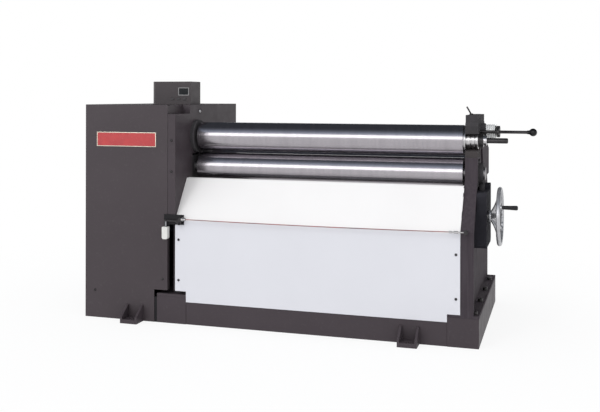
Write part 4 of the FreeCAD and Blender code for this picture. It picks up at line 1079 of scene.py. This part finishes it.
edit = bmesh.new()
bmesh.ops.create_grid(edit, x_segments=1, y_segments=1, size=FLOOR_HALF)
_, looks = stage_piece("floor", edit, "white_floor")
away = looks.add("ShaderNodeVectorMath", operation="LENGTH")
looks.feed(looks.add("ShaderNodeTexCoord").outputs["Object"], away.inputs[0])
fade = looks.level(away.outputs["Value"], FADE_SPAN, FADE_SHARE)
pale = looks.add("ShaderNodeBsdfDiffuse", {"Color": FLOOR_WHITE})
glow = looks.add("ShaderNodeEmission")
white_for_view(looks, glow, pale, "Material Output", fade)

# ------------------------------------------------------------------------- sky
# An even white sky, weaker towards the right and the back, and one soft sun from the
# front left. Neither shows in the view, where the surround is plain white.
SKY_KEY = (-0.28, -0.80, 0.42)
SKY_REACH = (-0.9, 0.9)
SKY_STRENGTH = (0.30, 1.36)
SKY_TINT = (0.95, 0.97, 1.0, 1)
SUN_ENERGY = 0.45
SUN_TILT = 38
SUN_TURN = -30
SUN_ANGLE = 12

world = bpy.data.worlds.new("surround")
scene.world = world
world.use_nodes = True
looks = Shading(world.node_tree)
sky = world.node_tree.nodes["Background"]
sky.inputs["Color"].default_value = SKY_TINT
way = looks.add("ShaderNodeTexCoord").outputs["Generated"]
toward = looks.add("ShaderNodeVectorMath", operation="DOT_PRODUCT")
toward.inputs[1].default_value = Vector(SKY_KEY).normalized()
looks.feed(way, toward.inputs[0])
strength = looks.level(toward.outputs["Value"], SKY_REACH, SKY_STRENGTH)
looks.feed(strength, sky.inputs["Strength"])
plain = {"Color": (1, 1, 1, 1), "Strength": 1.0}
white = looks.add("ShaderNodeBackground", plain)
white_for_view(looks, white, sky, "World Output")

sun = bpy.data.objects.new("sun", bpy.data.lights.new("sun", "SUN"))
sun.data.energy = SUN_ENERGY
sun.data.angle = math.radians(SUN_ANGLE)
sun.rotation_euler = (math.radians(SUN_TILT), 0, math.radians(SUN_TURN))
sun.visible_glossy = False
scene.collection.objects.link(sun)

# ------------------------------------------------------------------ studio cards
# A dark cloth overhead and a long light strip in front, which only the polished rolls
# and other shiny pieces see. Each glows evenly, or fades from its front to its back.
CLOTH = ((-9, -3.6, 3.0), (7, 8, 3.0))
CLOTH_GLOW = (0.85, 0.07)
CLOTH_TINT = (0.74, 0.84, 1.0, 1)
STRIP = ((-11, -6.5, 1.9), (5, -6.5, 4.2))
STRIP_GLOW = (3.7, 3.7)
STRIP_TINT = (1.0, 1.0, 1.0, 1)
CARD_FADE = 3.0


def studio_card(name, corners, glow_ends, tint):
    """A card that only shiny things see, with its glow running from front to back."""
    low, high = (Vector(corner) for corner in corners)
    size = high - low
    edit = bmesh.new()
    bmesh.ops.create_grid(edit, x_segments=1, y_segments=1, size=0.5)
    if size.z > 0:
        quarter_turn(edit, "X")
    bmesh.ops.scale(edit, verts=edit.verts, vec=[max(side, 0.001) for side in size])
    bmesh.ops.translate(edit, verts=edit.verts, vec=(low + high) / 2)
    card, looks = stage_piece(name, edit, name)
    glow = looks.add("ShaderNodeEmission", {"Color": tint})
    parts = looks.add("ShaderNodeSeparateXYZ")
    looks.feed(looks.add("ShaderNodeTexCoord").outputs["Object"], parts.inputs[0])
    fade_span = (low.y, low.y + CARD_FADE)
    strength = looks.level(
        parts.outputs["Y"], fade_span, glow_ends, interpolation_type="SMOOTHSTEP"
    )
    looks.feed(strength, glow.inputs["Strength"])
    surface = looks.tree.nodes["Material Output"].inputs["Surface"]
    looks.feed(glow.outputs[0], surface)
    card.visible_camera = False
    card.visible_diffuse = False
    card.visible_transmission = False
    card.visible_volume_scatter = False
    card.visible_shadow = False


studio_card("overhead_cloth", CLOTH, CLOTH_GLOW, CLOTH_TINT)
studio_card("front_strip", STRIP, STRIP_GLOW, STRIP_TINT)

# ---------------------------------------------------------------------- camera
# A level camera at about eye height, in front of the machine and a little to the
# right, with the lens shifted down so that upright edges stay upright.
CAMERA_PLACE = (1282.1, -4133.9, 1054.0)
CAMERA_TURN = 16.949
CAMERA_ROLL = 0.115
LENS = 52.1
LENS_SHIFT = -0.1822
SENSOR = 36
SEES_TO = 100

camera = bpy.data.objects.new("camera", bpy.data.cameras.new("camera"))
scene.collection.objects.link(camera)
camera.matrix_world = (
    Matrix.Translation(Vector(CAMERA_PLACE) * MM)
    @ Matrix.Rotation(math.radians(CAMERA_TURN), 4, "Z")
    @ Matrix.Rotation(math.radians(90), 4, "X")
    @ Matrix.Rotation(math.radians(CAMERA_ROLL), 4, "Z")
)
camera.data.sensor_width = SENSOR
camera.data.lens = LENS
camera.data.shift_y = LENS_SHIFT
camera.data.clip_end = SEES_TO
scene.camera = camera
scene.view_settings.view_transform = "Standard"
